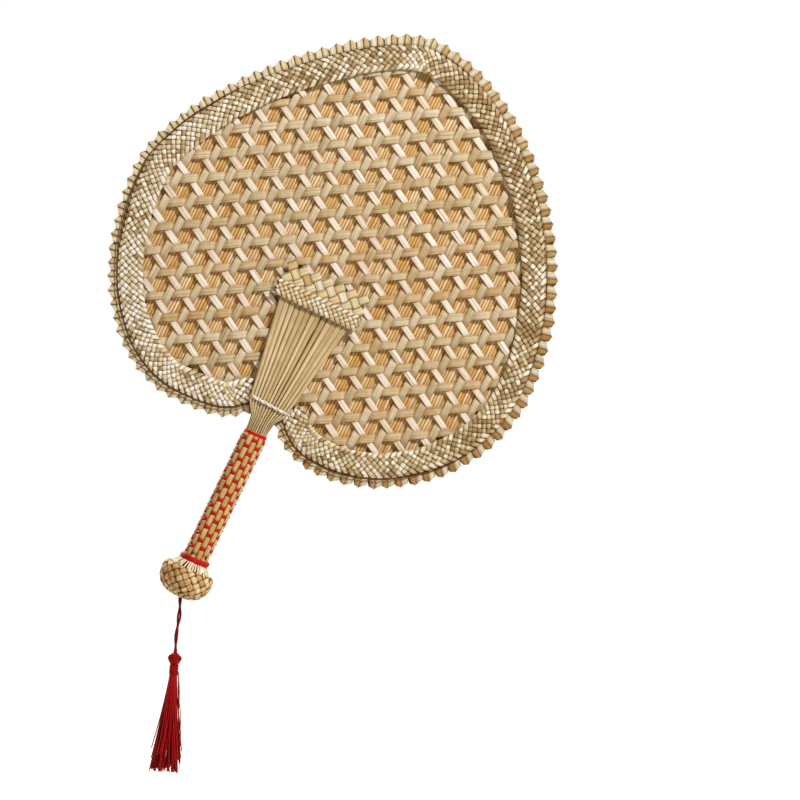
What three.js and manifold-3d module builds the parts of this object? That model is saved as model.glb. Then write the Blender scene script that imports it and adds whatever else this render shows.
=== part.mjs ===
// A hand fan of woven straw: a heart-shaped blade on a straight handle, held up by the grip and leaning to
// the right, with a tassel that hangs straight down from the pommel.
// Sizes are millimetres. Each piece is drawn with x to the right, y to the back, z up along the handle and
// z = 0 at the neck, where the blade meets the handle. The whole fan is then leaned over about y.
import * as THREE from "three";
import { mergeGeometries, mergeVertices } from "three/addons/utils/BufferGeometryUtils.js";
import Module from "manifold-3d";

const wasm = await Module();
wasm.setup();

// Fits shared by all pieces.
const clearance = 0.3;
const overrun = 1;

// Pose of the fan in the hand.
const leanDegrees = 20.6;
const gripDepth = 55;

// Outline of the blade, through the tips of the teeth.
const tipHeight = 238;
const tipOffset = 4;
const notchHalfGap = 4;
const notchDrop = 2.2;
const notchSlopeShare = 0.25;
const notchFallShare = 0.55;
const rightHalfWidth = 135;
const rightSideHeight = 75;
const rightLobeOffset = 44;
const rightLobeDrop = 20.5;
const rightTipShare = 0.45;
const rightUpperShare = 0.52;
const rightLowerShare = 0.62;
const rightLobeOuterShare = 0.41;
const rightLobeInnerShare = 0.6;
const leftHalfWidth = 132;
const leftSideHeight = 96;
const leftLobeOffset = 52;
const leftLobeDrop = 17.5;
const leftTipShare = 0.28;
const leftUpperShare = 0.38;
const leftLowerShare = 0.6;
const leftLobeOuterShare = 0.49;
const leftLobeInnerShare = 0.76;
const rimSteps = 56;

// Depth of the border, measured in from the tooth tips.
const toothDepth = 2.8;
const toothPitch = 8.6;
const trimDepth = 11.7;
const plaitInset = 4.6;
const plaitWidth = 16.2;

// Layers of the blade, from the front to the back.
const plaitThickness = 2.2;
const latticeThickness = 2;
const matThickness = 1.6;

// Three-direction weave of the lattice.
const stripPitch = 13.3;
const openingRise = 15.6;
const stripWidth = 4.3;
const weaveLeanDegrees = 1.6;
const weaveClimbDegrees = 0.7;
const firstOpeningAcross = -3.5;
const firstOpeningHeight = 166.1;
const openingsAcross = 11;
const openingsUp = 14;

// Root cover: a row of straws from the handle to a plaited band.
const coverStraws = 13;
const coverHalfWidth = 22.5;
const coverTop = 78;
const coverTopThickness = 1.6;
const neckHeight = 4.5;
const neckHalfWidth = 11.2;
const neckThickness = 2;
const coverArcDegrees = 80;
const coverFlatDrop = 7.5;
const coverStepTop = 45;
const bandHalfWidth = 26;
const bandBottom = 66;
const bandTop = 80;
const bandThickness = 2.2;
const fringeHeight = 8.5;
const fringeTeeth = 7;
const threadRadius = 0.8;
const threadReach = 1;

// Handle.
const staves = 13;
const staveTop = 14.3;
const staveBottom = 97.5;
const staveThickness = 2.1;
const staveGap = 0.3;
const coreRadius = 4.3;
const coreNeckRadius = 3.5;
const coreShoulder = 2;
const coreBottom = 108;
const coreSides = 20;
const weftPitch = 4.35;
const weftWidth = 1.2;
const weftThickness = 0.9;
const weftMargin = 1.6;
const redRingRadius = 1.1;
const redRingDrop = 95.2;
const redRingSides = 8;
const redRingSteps = 26;

// Pommel.
const collarTop = 97.8;
const collarThickness = 0.8;
const collarTipRadius = 11;
const collarValleyRadius = 8.6;
const pommelTop = 98.9;
const pommelBottom = 118.3;
const pommelRadius = 16;
const pommelMouthRadius = 9.5;
const pommelWall = 2.1;
const pommelSides = 24;

// Hanging cord and tassel, measured down from the cord's pivot.
const cordExitOffset = 2.4;
const cordRadius = 1.15;
const cordSides = 8;
const cordLength = 30.2;
const cordSwaySide = 0.35;
const knotRadius = 4;
const knotSides = 12;
const knotRows = 8;
const bindingRadius = 2.7;
const bindingHeight = 3;
const bindingSides = 14;
const tasselLength = 70;
const skirtTopRadius = 2.9;
const skirtBottomRadius = 10;
const skirtFlutes = 16;
const skirtRings = 7;
const fluteShare = 0.14;

// Faces of the layers: the mat's front is at y = 0.
const latticeBack = -clearance;
const latticeFront = latticeBack - latticeThickness;
const frontPlaitBack = latticeFront - clearance;
const frontPlaitFront = frontPlaitBack - plaitThickness;
const backPlaitFront = matThickness + clearance;
const backPlaitBack = backPlaitFront + plaitThickness;
const panelInset = trimDepth + clearance;
const plaitInnerInset = plaitInset + plaitWidth;

// Radii of the handle, from the core outwards.
const staveInner = coreRadius + clearance;
const staveOuter = staveInner + staveThickness;
const weftInner = (staveOuter + clearance) / Math.cos(Math.PI / staves);
const redRingCentre = staveOuter + clearance + redRingRadius;

// Finishes, after the photo.
const finish = (color, roughness) => new THREE.MeshStandardMaterial({ color, roughness, metalness: 0 });
const matStraw = () => finish(0xd9ab68, 0.62);
const stripStraw = () => finish(0xe3cb98, 0.45);
const plaitStraw = () => finish(0xdfcb9c, 0.5);
const coverStraw = () => finish(0xc8b27d, 0.48);
const handleStraw = () => finish(0xd6b27c, 0.5);
const coreWood = () => finish(0xb58d5a, 0.7);
const redThread = () => finish(0xb5191c, 0.6);
const whiteThread = () => finish(0xe4dcd0, 0.7);
const cordRed = () => finish(0x7d0f22, 0.6);
const tasselRed = () => finish(0xaa0a12, 0.5);

function radians(degrees) {
  return THREE.MathUtils.degToRad(degrees);
}

// Control points of one half of the outline, from the notch to the tip, with that half to the right.
function halfControls(side, halfWidth, sideHeight, lobeOffset, lobeDrop, shares) {
  const notch = new THREE.Vector2(notchHalfGap, -notchDrop);
  const lobe = new THREE.Vector2(lobeOffset, -lobeDrop);
  const flank = new THREE.Vector2(halfWidth, sideHeight);
  const tip = new THREE.Vector2(-side * tipOffset, tipHeight);
  const lobeRun = lobe.x - notch.x;
  const lobeFall = notch.y - lobe.y;
  return [
    notch,
    new THREE.Vector2(notch.x + notchSlopeShare * lobeRun, notch.y - notchFallShare * lobeFall),
    new THREE.Vector2(lobe.x - shares.lobeInner * lobeRun, lobe.y),
    lobe,
    new THREE.Vector2(lobe.x + shares.lobeOuter * (flank.x - lobe.x), lobe.y),
    new THREE.Vector2(flank.x, flank.y - shares.lower * (flank.y - lobe.y)),
    flank,
    new THREE.Vector2(flank.x, flank.y + shares.upper * (tip.y - flank.y)),
    new THREE.Vector2(tip.x + shares.tip * (flank.x - tip.x), tip.y),
    tip,
  ].map((point) => new THREE.Vector2(side * point.x, point.y));
}

// The outline as one path, from the notch up the right side to the tip and down the left side.
function rimPath() {
  const right = halfControls(1, rightHalfWidth, rightSideHeight, rightLobeOffset, rightLobeDrop, {
    tip: rightTipShare,
    upper: rightUpperShare,
    lower: rightLowerShare,
    lobeOuter: rightLobeOuterShare,
    lobeInner: rightLobeInnerShare,
  });
  const left = halfControls(-1, leftHalfWidth, leftSideHeight, leftLobeOffset, leftLobeDrop, {
    tip: leftTipShare,
    upper: leftUpperShare,
    lower: leftLowerShare,
    lobeOuter: leftLobeOuterShare,
    lobeInner: leftLobeInnerShare,
  }).reverse();
  const path = new THREE.CurvePath();
  for (const half of [right, left]) {
    for (let first = 0; first + 3 < half.length; first += 3) {
      path.add(new THREE.CubicBezierCurve(half[first], half[first + 1], half[first + 2], half[first + 3]));
    }
  }
  return path;
}

const rim = rimPath();

// A point at a share of the way along the rim, moved in from it by a distance.
function rimPoint(share, inset) {
  const point = rim.getPoint(share);
  const along = rim.getTangent(share);
  return new THREE.Vector2(point.x - along.y * inset, point.y + along.x * inset);
}

// The ends of the border plaits stand this high under the root cover, so its straws step down above it.
const coverStepRise = Math.max(rimPoint(0, plaitInnerInset).y, rimPoint(1, plaitInnerInset).y);

function rimLine(inset) {
  return Array.from({ length: rimSteps + 1 }, (_, step) => rimPoint(step / rimSteps, inset));
}

// A flat plate from an outline in x and z, between a front and a back face.
function plate(outline, front, back) {
  const geometry = new THREE.ExtrudeGeometry(new THREE.Shape(outline), {
    depth: back - front,
    bevelEnabled: false,
    curveSegments: 1,
  });
  geometry.rotateX(Math.PI / 2);
  geometry.translate(0, back, 0);
  return geometry;
}

function circlePoints(radius, sides) {
  return Array.from({ length: sides }, (_, side) => {
    const turn = (side * 2 * Math.PI) / sides;
    return new THREE.Vector2(radius * Math.cos(turn), radius * Math.sin(turn));
  });
}

// A solid of revolution about z, from a closed profile of radius and height.
function turned(profile, sides) {
  const points = profile.map(([radius, height]) => new THREE.Vector2(radius, height));
  const geometry = new THREE.LatheGeometry([...points, points[0]], sides);
  geometry.rotateX(Math.PI / 2);
  return geometry;
}

// A closed skin over rings of points that all run the same way round, with a fan of faces at each end.
function loft(rings) {
  const sides = rings[0].length;
  const points = rings.flat();
  const faces = [];
  for (let ring = 0; ring + 1 < rings.length; ring++) {
    for (let side = 0; side < sides; side++) {
      const here = ring * sides + side;
      const next = ring * sides + ((side + 1) % sides);
      faces.push(here, next, next + sides);
      faces.push(here, next + sides, here + sides);
    }
  }
  for (const [ring, turn] of [[0, 1], [rings.length - 1, 0]]) {
    const middle = new THREE.Vector3();
    rings[ring].forEach((point) => middle.addScaledVector(point, 1 / sides));
    const centre = points.push(middle) - 1;
    for (let side = 0; side < sides; side++) {
      const here = ring * sides + ((side + turn) % sides);
      const next = ring * sides + ((side + 1 - turn) % sides);
      faces.push(centre, here, next);
    }
  }
  if (enclosedVolume(points, faces) < 0) {
    faces.reverse();
  }
  const geometry = new THREE.BufferGeometry().setFromPoints(points);
  geometry.setIndex(faces);
  return geometry;
}

function enclosedVolume(points, faces) {
  let volume = 0;
  for (let first = 0; first < faces.length; first += 3) {
    const [a, b, c] = faces.slice(first, first + 3).map((index) => points[index]);
    volume += a.dot(b.clone().cross(c)) / 6;
  }
  return volume;
}

function solidOf(geometry) {
  const bare = geometry.index ? geometry.toNonIndexed() : geometry.clone();
  bare.deleteAttribute("normal");
  bare.deleteAttribute("uv");
  const merged = mergeVertices(bare);
  return new wasm.Manifold(
    new wasm.Mesh({
      numProp: 3,
      vertProperties: merged.attributes.position.array,
      triVerts: new Uint32Array(merged.index.array),
    }),
  );
}

function geometryOf(solid) {
  const mesh = solid.getMesh();
  const geometry = new THREE.BufferGeometry();
  geometry.setAttribute("position", new THREE.BufferAttribute(mesh.vertProperties, 3));
  geometry.setIndex(new THREE.BufferAttribute(mesh.triVerts, 1));
  return geometry;
}

function named(name, geometry, material) {
  const flat = geometry.index ? geometry.toNonIndexed() : geometry;
  flat.computeVertexNormals();
  const mesh = new THREE.Mesh(flat, material);
  mesh.name = name;
  return mesh;
}

// The mat of fine straws, as one plate.
function backingMat() {
  return named("backing_mat", plate(rimLine(panelInset), 0, matThickness), matStraw());
}

function isInside(point, outline) {
  let crossings = 0;
  outline.forEach((start, index) => {
    const end = outline[(index + 1) % outline.length];
    const spans = start.y > point.y !== end.y > point.y;
    const across = start.x + ((point.y - start.y) / (end.y - start.y)) * (end.x - start.x);
    crossings += spans && point.x < across ? 1 : 0;
  });
  return crossings % 2 === 1;
}

function coverHalfWidthAt(height) {
  const share = (height - neckHeight) / (coverTop - neckHeight);
  return THREE.MathUtils.lerp(neckHalfWidth, coverHalfWidth, Math.max(share, 0));
}

// Centres of the six-sided openings that show, in rows that step half an opening sideways.
function openingCentres() {
  const window = rimLine(plaitInnerInset);
  const lean = Math.tan(radians(weaveLeanDegrees));
  const climb = Math.tan(radians(weaveClimbDegrees));
  const centres = [];
  for (let column = -openingsAcross; column <= openingsAcross; column++) {
    for (let row = -openingsUp; row <= openingsUp; row++) {
      const across = column * stripPitch;
      const up = (row + (column % 2) / 2) * openingRise;
      const centre = new THREE.Vector2(across + up * lean, up + across * climb);
      centre.x += firstOpeningAcross;
      centre.y += firstOpeningHeight;
      const underCover = centre.y < bandTop && Math.abs(centre.x) < coverHalfWidthAt(centre.y);
      if (isInside(centre, window) && !underCover) {
        centres.push(centre);
      }
    }
  }
  return centres;
}

// The lattice of strips: a plate with the weave's six-sided openings cut through it.
function lattice() {
  const radius = (stripPitch - stripWidth) / 2 / Math.cos(Math.PI / 6);
  const front = latticeFront - overrun;
  const back = latticeBack + overrun;
  const cutters = openingCentres().map((centre) => {
    const cutter = new THREE.CylinderGeometry(radius, radius, back - front, 6);
    cutter.rotateY(radians(weaveLeanDegrees));
    cutter.translate(centre.x, (front + back) / 2, centre.y);
    return cutter;
  });
  const shown = solidOf(plate(rimLine(plaitInnerInset - overrun), front, back));
  const openings = solidOf(mergeGeometries(cutters)).intersect(shown);
  const sheet = solidOf(plate(rimLine(panelInset), latticeFront, latticeBack));
  return named("lattice", geometryOf(sheet.subtract(openings)), stripStraw());
}

// A plait all round the blade, open at the neck.
function borderPlait(name, front, back) {
  const outline = [...rimLine(plaitInset), ...rimLine(plaitInnerInset).reverse()];
  return named(name, plate(outline, front, back), plaitStraw());
}

// The trim round the rim, with one pointed tooth for each fold of the straw.
function toothedTrim() {
  const teeth = Math.round(rim.getLength() / toothPitch);
  const outline = [];
  for (let tooth = 0; tooth < teeth; tooth++) {
    outline.push(rimPoint(tooth / teeth, toothDepth));
    outline.push(rimPoint((tooth + 1 / 2) / teeth, 0));
  }
  outline.push(rimPoint(1, toothDepth));
  outline.push(...rimLine(trimDepth).reverse());
  return named("toothed_trim", plate(outline, latticeFront, matThickness), plaitStraw());
}

// Where the row of cover straws runs at a height, for a share from -1 at its left edge to 1 at its right.
// On the handle the row is bent round the core. At the neck it is flat and lies on the border plait, and
// above it the row steps down on to the panel.
function rowPoint(cover, share, height) {
  const bottom = -staveTop + clearance;
  const flatness = THREE.MathUtils.smoothstep(height, bottom, neckHeight);
  const lift = THREE.MathUtils.smoothstep(height, bottom, neckHeight - coverFlatDrop);
  const stepDown = THREE.MathUtils.smoothstep(height, coverStepRise, coverStepTop);
  const onPlait = cover.plaitFace + clearance + neckThickness / 2;
  const onPanel = cover.panelFace + clearance + coverTopThickness / 2;
  const bend = share * radians(coverArcDegrees);
  const ring = (staveInner + staveOuter) / 2;
  const across = THREE.MathUtils.lerp(ring * Math.sin(bend), share * coverHalfWidthAt(height), flatness ** 2);
  const proud = THREE.MathUtils.lerp(onPlait, onPanel, stepDown);
  const depth = THREE.MathUtils.lerp(ring * Math.cos(bend), proud, lift);
  return new THREE.Vector3(across, cover.side * depth, height);
}

// One six-sided flattened straw of the cover.
function coverStrawGeometry(cover, index) {
  const share = (2 * index) / (coverStraws - 1) - 1;
  const small = 1 / coverStraws;
  const bottom = -staveTop + clearance;
  const flat = neckHeight - coverFlatDrop;
  const heights = [bottom, (bottom + flat) / 2, flat, neckHeight, coverStepRise, coverStepTop, coverTop];
  const rings = heights.map((height) => {
    const centre = rowPoint(cover, share, height);
    const across = rowPoint(cover, share + small, height).sub(rowPoint(cover, share - small, height));
    const pitch = across.length() / small / (coverStraws - 1);
    const halfWidth = (pitch - clearance) / 2;
    across.normalize();
    const out = new THREE.Vector3(across.y, -across.x, 0);
    const thickness = height > coverStepRise ? coverTopThickness : neckThickness;
    return Array.from({ length: 6 }, (_, corner) => {
      const turn = (corner * Math.PI) / 3;
      return centre
        .clone()
        .addScaledVector(across, halfWidth * Math.cos(turn))
        .addScaledVector(out, (thickness / 2) * Math.sin(turn));
    });
  });
  return loft(rings);
}

// The plaited band over the tops of the cover straws, with a sawtooth upper edge.
function coverBand(cover) {
  const near = cover.panelFace + coverTopThickness + 2 * clearance;
  const faces = [cover.side * near, cover.side * (near + bandThickness)].sort((a, b) => a - b);
  const outline = [new THREE.Vector2(-bandHalfWidth, bandBottom), new THREE.Vector2(bandHalfWidth, bandBottom)];
  const toothWidth = (2 * bandHalfWidth) / fringeTeeth;
  for (let tooth = 0; tooth < fringeTeeth; tooth++) {
    const right = bandHalfWidth - tooth * toothWidth;
    outline.push(new THREE.Vector2(right, bandTop));
    outline.push(new THREE.Vector2(right - toothWidth / 2, bandTop + fringeHeight));
  }
  outline.push(new THREE.Vector2(-bandHalfWidth, bandTop));
  return plate(outline, faces[0], faces[1]);
}

// The thread across the straws at the neck. It dives through the blade at both ends.
function neckThread(cover) {
  const near = cover.plaitFace + clearance;
  const over = near + neckThickness + clearance + threadRadius;
  const reach = neckHalfWidth + threadReach + threadRadius;
  const inner = neckHalfWidth + threadRadius;
  const points = [[-reach, near], [-reach, (near + over) / 2], [-inner, over], [0, over]];
  const mirrored = points.slice(0, 3).reverse().map(([across, depth]) => [-across, depth]);
  const route = [...points, ...mirrored].map(
    ([across, depth]) => new THREE.Vector3(across, cover.side * depth, neckHeight),
  );
  const rings = route.map((point, index) => {
    const before = route[Math.max(index - 1, 0)];
    const after = route[Math.min(index + 1, route.length - 1)];
    const along = after.clone().sub(before).normalize();
    const out = new THREE.Vector3(-along.y, along.x, 0);
    const isEnd = index === 0 || index === route.length - 1;
    if (isEnd) {
      out.set(1, 0, 0).multiplyScalar(Math.sign(-along.y * cover.side) || 1);
      out.multiplyScalar(cover.side);
    }
    return Array.from({ length: 6 }, (_, corner) => {
      const turn = (corner * Math.PI) / 3;
      return point
        .clone()
        .addScaledVector(out, threadRadius * Math.cos(turn))
        .add(new THREE.Vector3(0, 0, threadRadius * Math.sin(turn)));
    });
  });
  return loft(rings);
}

// One face of the root cover: its straws, band and thread.
function rootCover(word, cover) {
  const meshes = [];
  for (let index = 0; index < coverStraws; index++) {
    const number = String(index + 1).padStart(2, "0");
    const name = "cover_straw_" + word + "_" + number;
    meshes.push(named(name, coverStrawGeometry(cover, index), coverStraw()));
  }
  meshes.push(named("cover_band_" + word, coverBand(cover), plaitStraw()));
  meshes.push(named("neck_thread_" + word, neckThread(cover), whiteThread()));
  return meshes;
}

// The stick inside the handle, thinner where it enters the notch of the blade.
function handleCore() {
  const notchRoom = Math.min(rimPoint(0, panelInset).y, rimPoint(1, panelInset).y) - clearance;
  const shoulder = -staveTop + clearance;
  const profile = [
    [0, -coreBottom],
    [coreRadius, -coreBottom],
    [coreRadius, shoulder],
    [coreNeckRadius, shoulder + coreShoulder],
    [coreNeckRadius, notchRoom],
    [0, notchRoom],
  ];
  return named("handle_core", turned(profile, coreSides), coreWood());
}

// One stave: a slice of the straw tube round the core.
function stave(index) {
  const middle = (index * 2 * Math.PI) / staves;
  const half = Math.PI / staves;
  const outerHalf = half - staveGap / 2 / staveOuter;
  const innerHalf = half - staveGap / 2 / staveInner;
  const innerRadius = staveInner / Math.cos(half);
  const at = (radius, turn) => new THREE.Vector2(radius * Math.sin(turn), radius * Math.cos(turn));
  const shape = new THREE.Shape([
    at(innerRadius, middle - innerHalf),
    at(staveOuter, middle - outerHalf),
    at(staveOuter, middle),
    at(staveOuter, middle + outerHalf),
    at(innerRadius, middle + innerHalf),
  ]);
  const depth = staveBottom - staveTop;
  const geometry = new THREE.ExtrudeGeometry(shape, { depth, bevelEnabled: false });
  geometry.translate(0, 0, -staveBottom);
  return named("handle_stave_" + String(index + 1).padStart(2, "0"), geometry, handleStraw());
}

// The red thread as one unbroken helix round the staves, with one step for each stave.
function redWeft() {
  const top = -staveTop - weftMargin;
  const bottom = -redRingDrop + redRingRadius + weftMargin;
  const turns = Math.floor((top - bottom) / weftPitch);
  const steps = turns * staves;
  const middles = [];
  const rings = [];
  for (let step = 0; step <= steps; step++) {
    const turn = (step * 2 * Math.PI) / staves;
    const height = top - (step * weftPitch) / staves;
    const at = (radius, up) => {
      return new THREE.Vector3(radius * Math.sin(turn), -radius * Math.cos(turn), height + up);
    };
    const outer = weftInner + weftThickness;
    middles.push(at((weftInner + outer) / 2, 0));
    rings.push([
      at(weftInner, -weftWidth / 2),
      at(outer, -weftWidth / 2),
      at(outer, weftWidth / 2),
      at(weftInner, weftWidth / 2),
    ]);
  }
  console.log("least gap of the red weft to itself, mm:", leastGap(middles).toFixed(2));
  return named("red_weft", loft(rings), redThread());
}

// The least distance between turns of the weft, less its width.
function leastGap(middles) {
  let least = Infinity;
  middles.forEach((point, index) => {
    for (let other = index + Math.ceil(staves / 2); other < middles.length; other++) {
      least = Math.min(least, point.distanceTo(middles[other]) - weftWidth);
    }
  });
  return least;
}

function redRing() {
  const geometry = new THREE.TorusGeometry(redRingCentre, redRingRadius, redRingSides, redRingSteps);
  geometry.translate(0, 0, -redRingDrop);
  return named("red_ring", geometry, redThread());
}

// The slivers under the red ring, as one star-shaped washer on the mouth of the pommel.
function pommelCollar() {
  const points = [];
  for (let petal = 0; petal < staves; petal++) {
    const turn = (petal * 2 * Math.PI) / staves;
    const half = Math.PI / staves;
    points.push(new THREE.Vector2(Math.sin(turn), Math.cos(turn)).multiplyScalar(collarTipRadius));
    points.push(
      new THREE.Vector2(Math.sin(turn + half), Math.cos(turn + half)).multiplyScalar(collarValleyRadius),
    );
  }
  const shape = new THREE.Shape(points);
  shape.holes.push(new THREE.Path(circlePoints(staveInner, coreSides)));
  const geometry = new THREE.ExtrudeGeometry(shape, { depth: collarThickness, bevelEnabled: false });
  geometry.translate(0, 0, -collarTop - collarThickness);
  return named("pommel_collar", geometry, handleStraw());
}

// Points of the bun's side from its mouth to its foot, a set distance inside the surface.
function bunProfile(inside) {
  const height = pommelBottom - pommelTop;
  const radius = pommelRadius - inside;
  const mouth = pommelMouthRadius;
  const rounded = [
    [mouth + 0.7 * (radius - mouth), 0.05],
    [radius, 0.27],
    [radius, 0.5],
    [0.87 * radius, 0.84],
    [0.52 * radius, 1],
  ];
  return rounded.map(([across, share]) => {
    return [across, -pommelTop - inside - share * (height - 2 * inside)];
  });
}

// The plaited shell of the pommel, open at the top and drawn tight round the cord at the foot.
function pommelPlait() {
  const outside = bunProfile(0);
  const inside = bunProfile(pommelWall);
  const profile = [
    [pommelMouthRadius, -pommelTop],
    [pommelMouthRadius, -pommelTop - pommelWall],
    ...inside,
    [0, -pommelBottom + pommelWall],
    [0, -pommelBottom],
    ...outside.reverse(),
  ];
  return named("pommel_plait", turned(profile, pommelSides), plaitStraw());
}

// What the bun is wrapped round, with a socket for the end of the stick.
function pommelFilling() {
  const inset = pommelWall + clearance;
  const profile = [
    [0, -pommelBottom + inset],
    ...bunProfile(inset).reverse(),
    [pommelMouthRadius - clearance, -pommelTop - inset],
    [coreRadius + clearance, -pommelTop - inset],
    [coreRadius + clearance, -coreBottom - clearance],
    [0, -coreBottom - clearance],
  ];
  return named("pommel_filling", turned(profile, pommelSides), coreWood());
}

// The cord from its pivot down to the tassel's pivot, with round ends.
function hangCord() {
  const sway = [0, 0.4, 0.9, 1, 0.6, 0, -0.6, -1, -0.9, -0.4, 0];
  const points = sway.map((share, index) => {
    return new THREE.Vector3(share * cordSwaySide, 0, (-index * cordLength) / (sway.length - 1));
  });
  const tube = new THREE.ExtrudeGeometry(new THREE.Shape(circlePoints(cordRadius, cordSides)), {
    steps: points.length - 1,
    bevelEnabled: false,
    extrudePath: new THREE.CatmullRomCurve3(points),
  });
  let cord = solidOf(tube);
  for (const end of [points[0], points[points.length - 1]]) {
    const cap = new THREE.SphereGeometry(cordRadius, cordSides, cordSides / 2);
    cap.rotateX(Math.PI / 2);
    cap.translate(end.x, end.y, end.z);
    cord = cord.add(solidOf(cap));
  }
  return named("hang_cord", geometryOf(cord), cordRed());
}

const hangClearance = cordRadius + clearance;

// The tassel, measured down from its pivot at the cord's lower end.
function tassel() {
  const knot = new THREE.SphereGeometry(knotRadius, knotSides, knotRows);
  knot.rotateX(Math.PI / 2);
  const knotCentre = -hangClearance - knotRadius;
  knot.translate(0, 0, knotCentre);
  const bindingTop = knotCentre - knotRadius - clearance;
  const bindingBottom = bindingTop - bindingHeight;
  const waist = bindingRadius - clearance;
  const binding = turned(
    [
      [0, bindingBottom],
      [waist, bindingBottom],
      [bindingRadius, bindingBottom + clearance],
      [bindingRadius, bindingTop - clearance],
      [waist, bindingTop],
      [0, bindingTop],
    ],
    bindingSides,
  );
  const skirtTop = bindingBottom - clearance;
  const skirtBottom = -hangClearance - tasselLength;
  return [
    named("tassel_knot", knot, tasselRed()),
    named("tassel_binding", binding, tasselRed()),
    named("tassel_skirt", skirt(skirtTop, skirtBottom), tasselRed()),
  ];
}

// The threads of the tassel as one fluted bell.
function skirt(top, bottom) {
  const corners = 2 * skirtFlutes;
  const rings = Array.from({ length: skirtRings }, (_, ring) => {
    const share = ring / (skirtRings - 1);
    const radius = THREE.MathUtils.lerp(skirtTopRadius, skirtBottomRadius, share ** 1.15);
    return Array.from({ length: corners }, (_, corner) => {
      const turn = (corner * 2 * Math.PI) / corners;
      const reach = radius * (corner % 2 ? 1 - fluteShare * share : 1);
      const height = THREE.MathUtils.lerp(top, bottom, share);
      return new THREE.Vector3(reach * Math.cos(turn), reach * Math.sin(turn), height);
    });
  });
  return loft(rings);
}

// Every piece that is fixed to the handle, standing upright with the neck at z = 0.
function uprightFan() {
  const fan = new THREE.Group();
  fan.add(backingMat(), lattice(), toothedTrim());
  fan.add(borderPlait("border_plait_front", frontPlaitFront, frontPlaitBack));
  fan.add(borderPlait("border_plait_back", backPlaitFront, backPlaitBack));
  fan.add(...rootCover("front", { side: -1, panelFace: -latticeFront, plaitFace: -frontPlaitFront }));
  fan.add(...rootCover("back", { side: 1, panelFace: matThickness, plaitFace: backPlaitBack }));
  fan.add(handleCore(), redWeft(), redRing());
  for (let index = 0; index < staves; index++) {
    fan.add(stave(index));
  }
  fan.add(pommelCollar(), pommelPlait(), pommelFilling());
  return fan;
}

// The fan leaned over about the middle of the grip, with the cord and tassel hanging plumb below the pommel.
const wovenFan = new THREE.Group();
const lean = radians(leanDegrees);
const leaning = new THREE.Group();
const upright = uprightFan();
upright.position.z = gripDepth;
leaning.rotation.y = lean;
leaning.add(upright);
const cordPivot = new THREE.Vector3(cordExitOffset, 0, gripDepth - pommelBottom - hangClearance);
cordPivot.applyAxisAngle(new THREE.Vector3(0, 1, 0), lean);
const hanging = new THREE.Group();
hanging.position.copy(cordPivot);
const hangingTassel = new THREE.Group();
hangingTassel.position.z = -cordLength;
hangingTassel.add(...tassel());
hanging.add(hangCord(), hangingTassel);
wovenFan.add(leaning, hanging);
console.log("cord pivot, mm:", cordPivot.toArray().map((value) => value.toFixed(3)).join(", "));

export default wovenFan;
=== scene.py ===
import math

import bpy
import numpy as np
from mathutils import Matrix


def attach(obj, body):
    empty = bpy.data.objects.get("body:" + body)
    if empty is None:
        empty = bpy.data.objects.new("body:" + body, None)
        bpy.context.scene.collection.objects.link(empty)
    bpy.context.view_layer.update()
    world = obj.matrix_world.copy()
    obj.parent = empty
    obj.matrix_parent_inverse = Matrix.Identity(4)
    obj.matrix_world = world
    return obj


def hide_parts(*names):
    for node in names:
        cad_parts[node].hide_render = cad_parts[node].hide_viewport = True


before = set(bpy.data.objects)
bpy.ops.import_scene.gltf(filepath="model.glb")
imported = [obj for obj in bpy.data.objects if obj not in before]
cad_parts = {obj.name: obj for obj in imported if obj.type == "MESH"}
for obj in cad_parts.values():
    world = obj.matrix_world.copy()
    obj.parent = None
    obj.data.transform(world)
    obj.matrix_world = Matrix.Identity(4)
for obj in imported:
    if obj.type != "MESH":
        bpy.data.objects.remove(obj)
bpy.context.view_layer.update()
rng = np.random.default_rng(seed=41)
goldenAngle = 2.399963  # keeps the phases of neighbouring strands apart
white = (1.0, 1.0, 1.0, 1.0)
black = (0.0, 0.0, 0.0, 1.0)

# The fan is drawn upright in millimetres, x to the right, y to the back, z up the handle from the neck.
# It is leaned about the middle of the grip and put into the frame in metres.
pose = {"leanDegrees": 20.6, "gripDepth": 55, "rollDegrees": 5.2}


def leaned(vectors):
    # Turns upright directions by the lean about y.
    lean = math.radians(pose["leanDegrees"])
    cosine, sine = math.cos(lean), math.sin(lean)
    x, y, z = np.moveaxis(np.asarray(vectors, float), -1, 0)
    return np.stack((x * cosine + z * sine, y, z * cosine - x * sine), -1)


def placed(points):
    # Lifts upright millimetres by the grip's depth, leans them and gives metres.
    return leaned(np.asarray(points, float) + (0, 0, pose["gripDepth"])) / 1000


# Camera, lamps, sky and floor, in metres, watts and screen colours.
studio = {
    "centre": (0.0961, 0.0654),
    "distance": 2.0,
    "lens": 155,
    "sensor": 36,
    "aimAbove": 0.04,
    "lamps": {
        "keyLamp": {"place": (0.93, -1.13, 1.26), "size": 0.16, "watts": 40.5, "colour": (255, 255, 255)},
        "fillLamp": {"place": (-1.3, -1.2, 0.3), "size": 1.2, "watts": 1.6, "colour": (255, 214, 160)},
        "backLamp": {"place": (-0.95, 1.25, 0.95), "size": 0.4, "watts": 30, "colour": (255, 255, 255)},
    },
    "skyStrength": 0.175,
    "skyColour": (255, 219, 148),
    "floorColour": (236, 236, 234),
    "floorRoughness": 0.9,
    "floorHeight": -0.36,
    "floorReach": 6,
    "floorGlow": 0.62,
    "farGlow": 0.3,
    "farFrom": 1.0,
}


def addObject(name, data):
    # Makes an object at the origin and links it to the scene.
    made = bpy.data.objects.new(name, data)
    bpy.context.scene.collection.objects.link(made)
    return made


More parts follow.
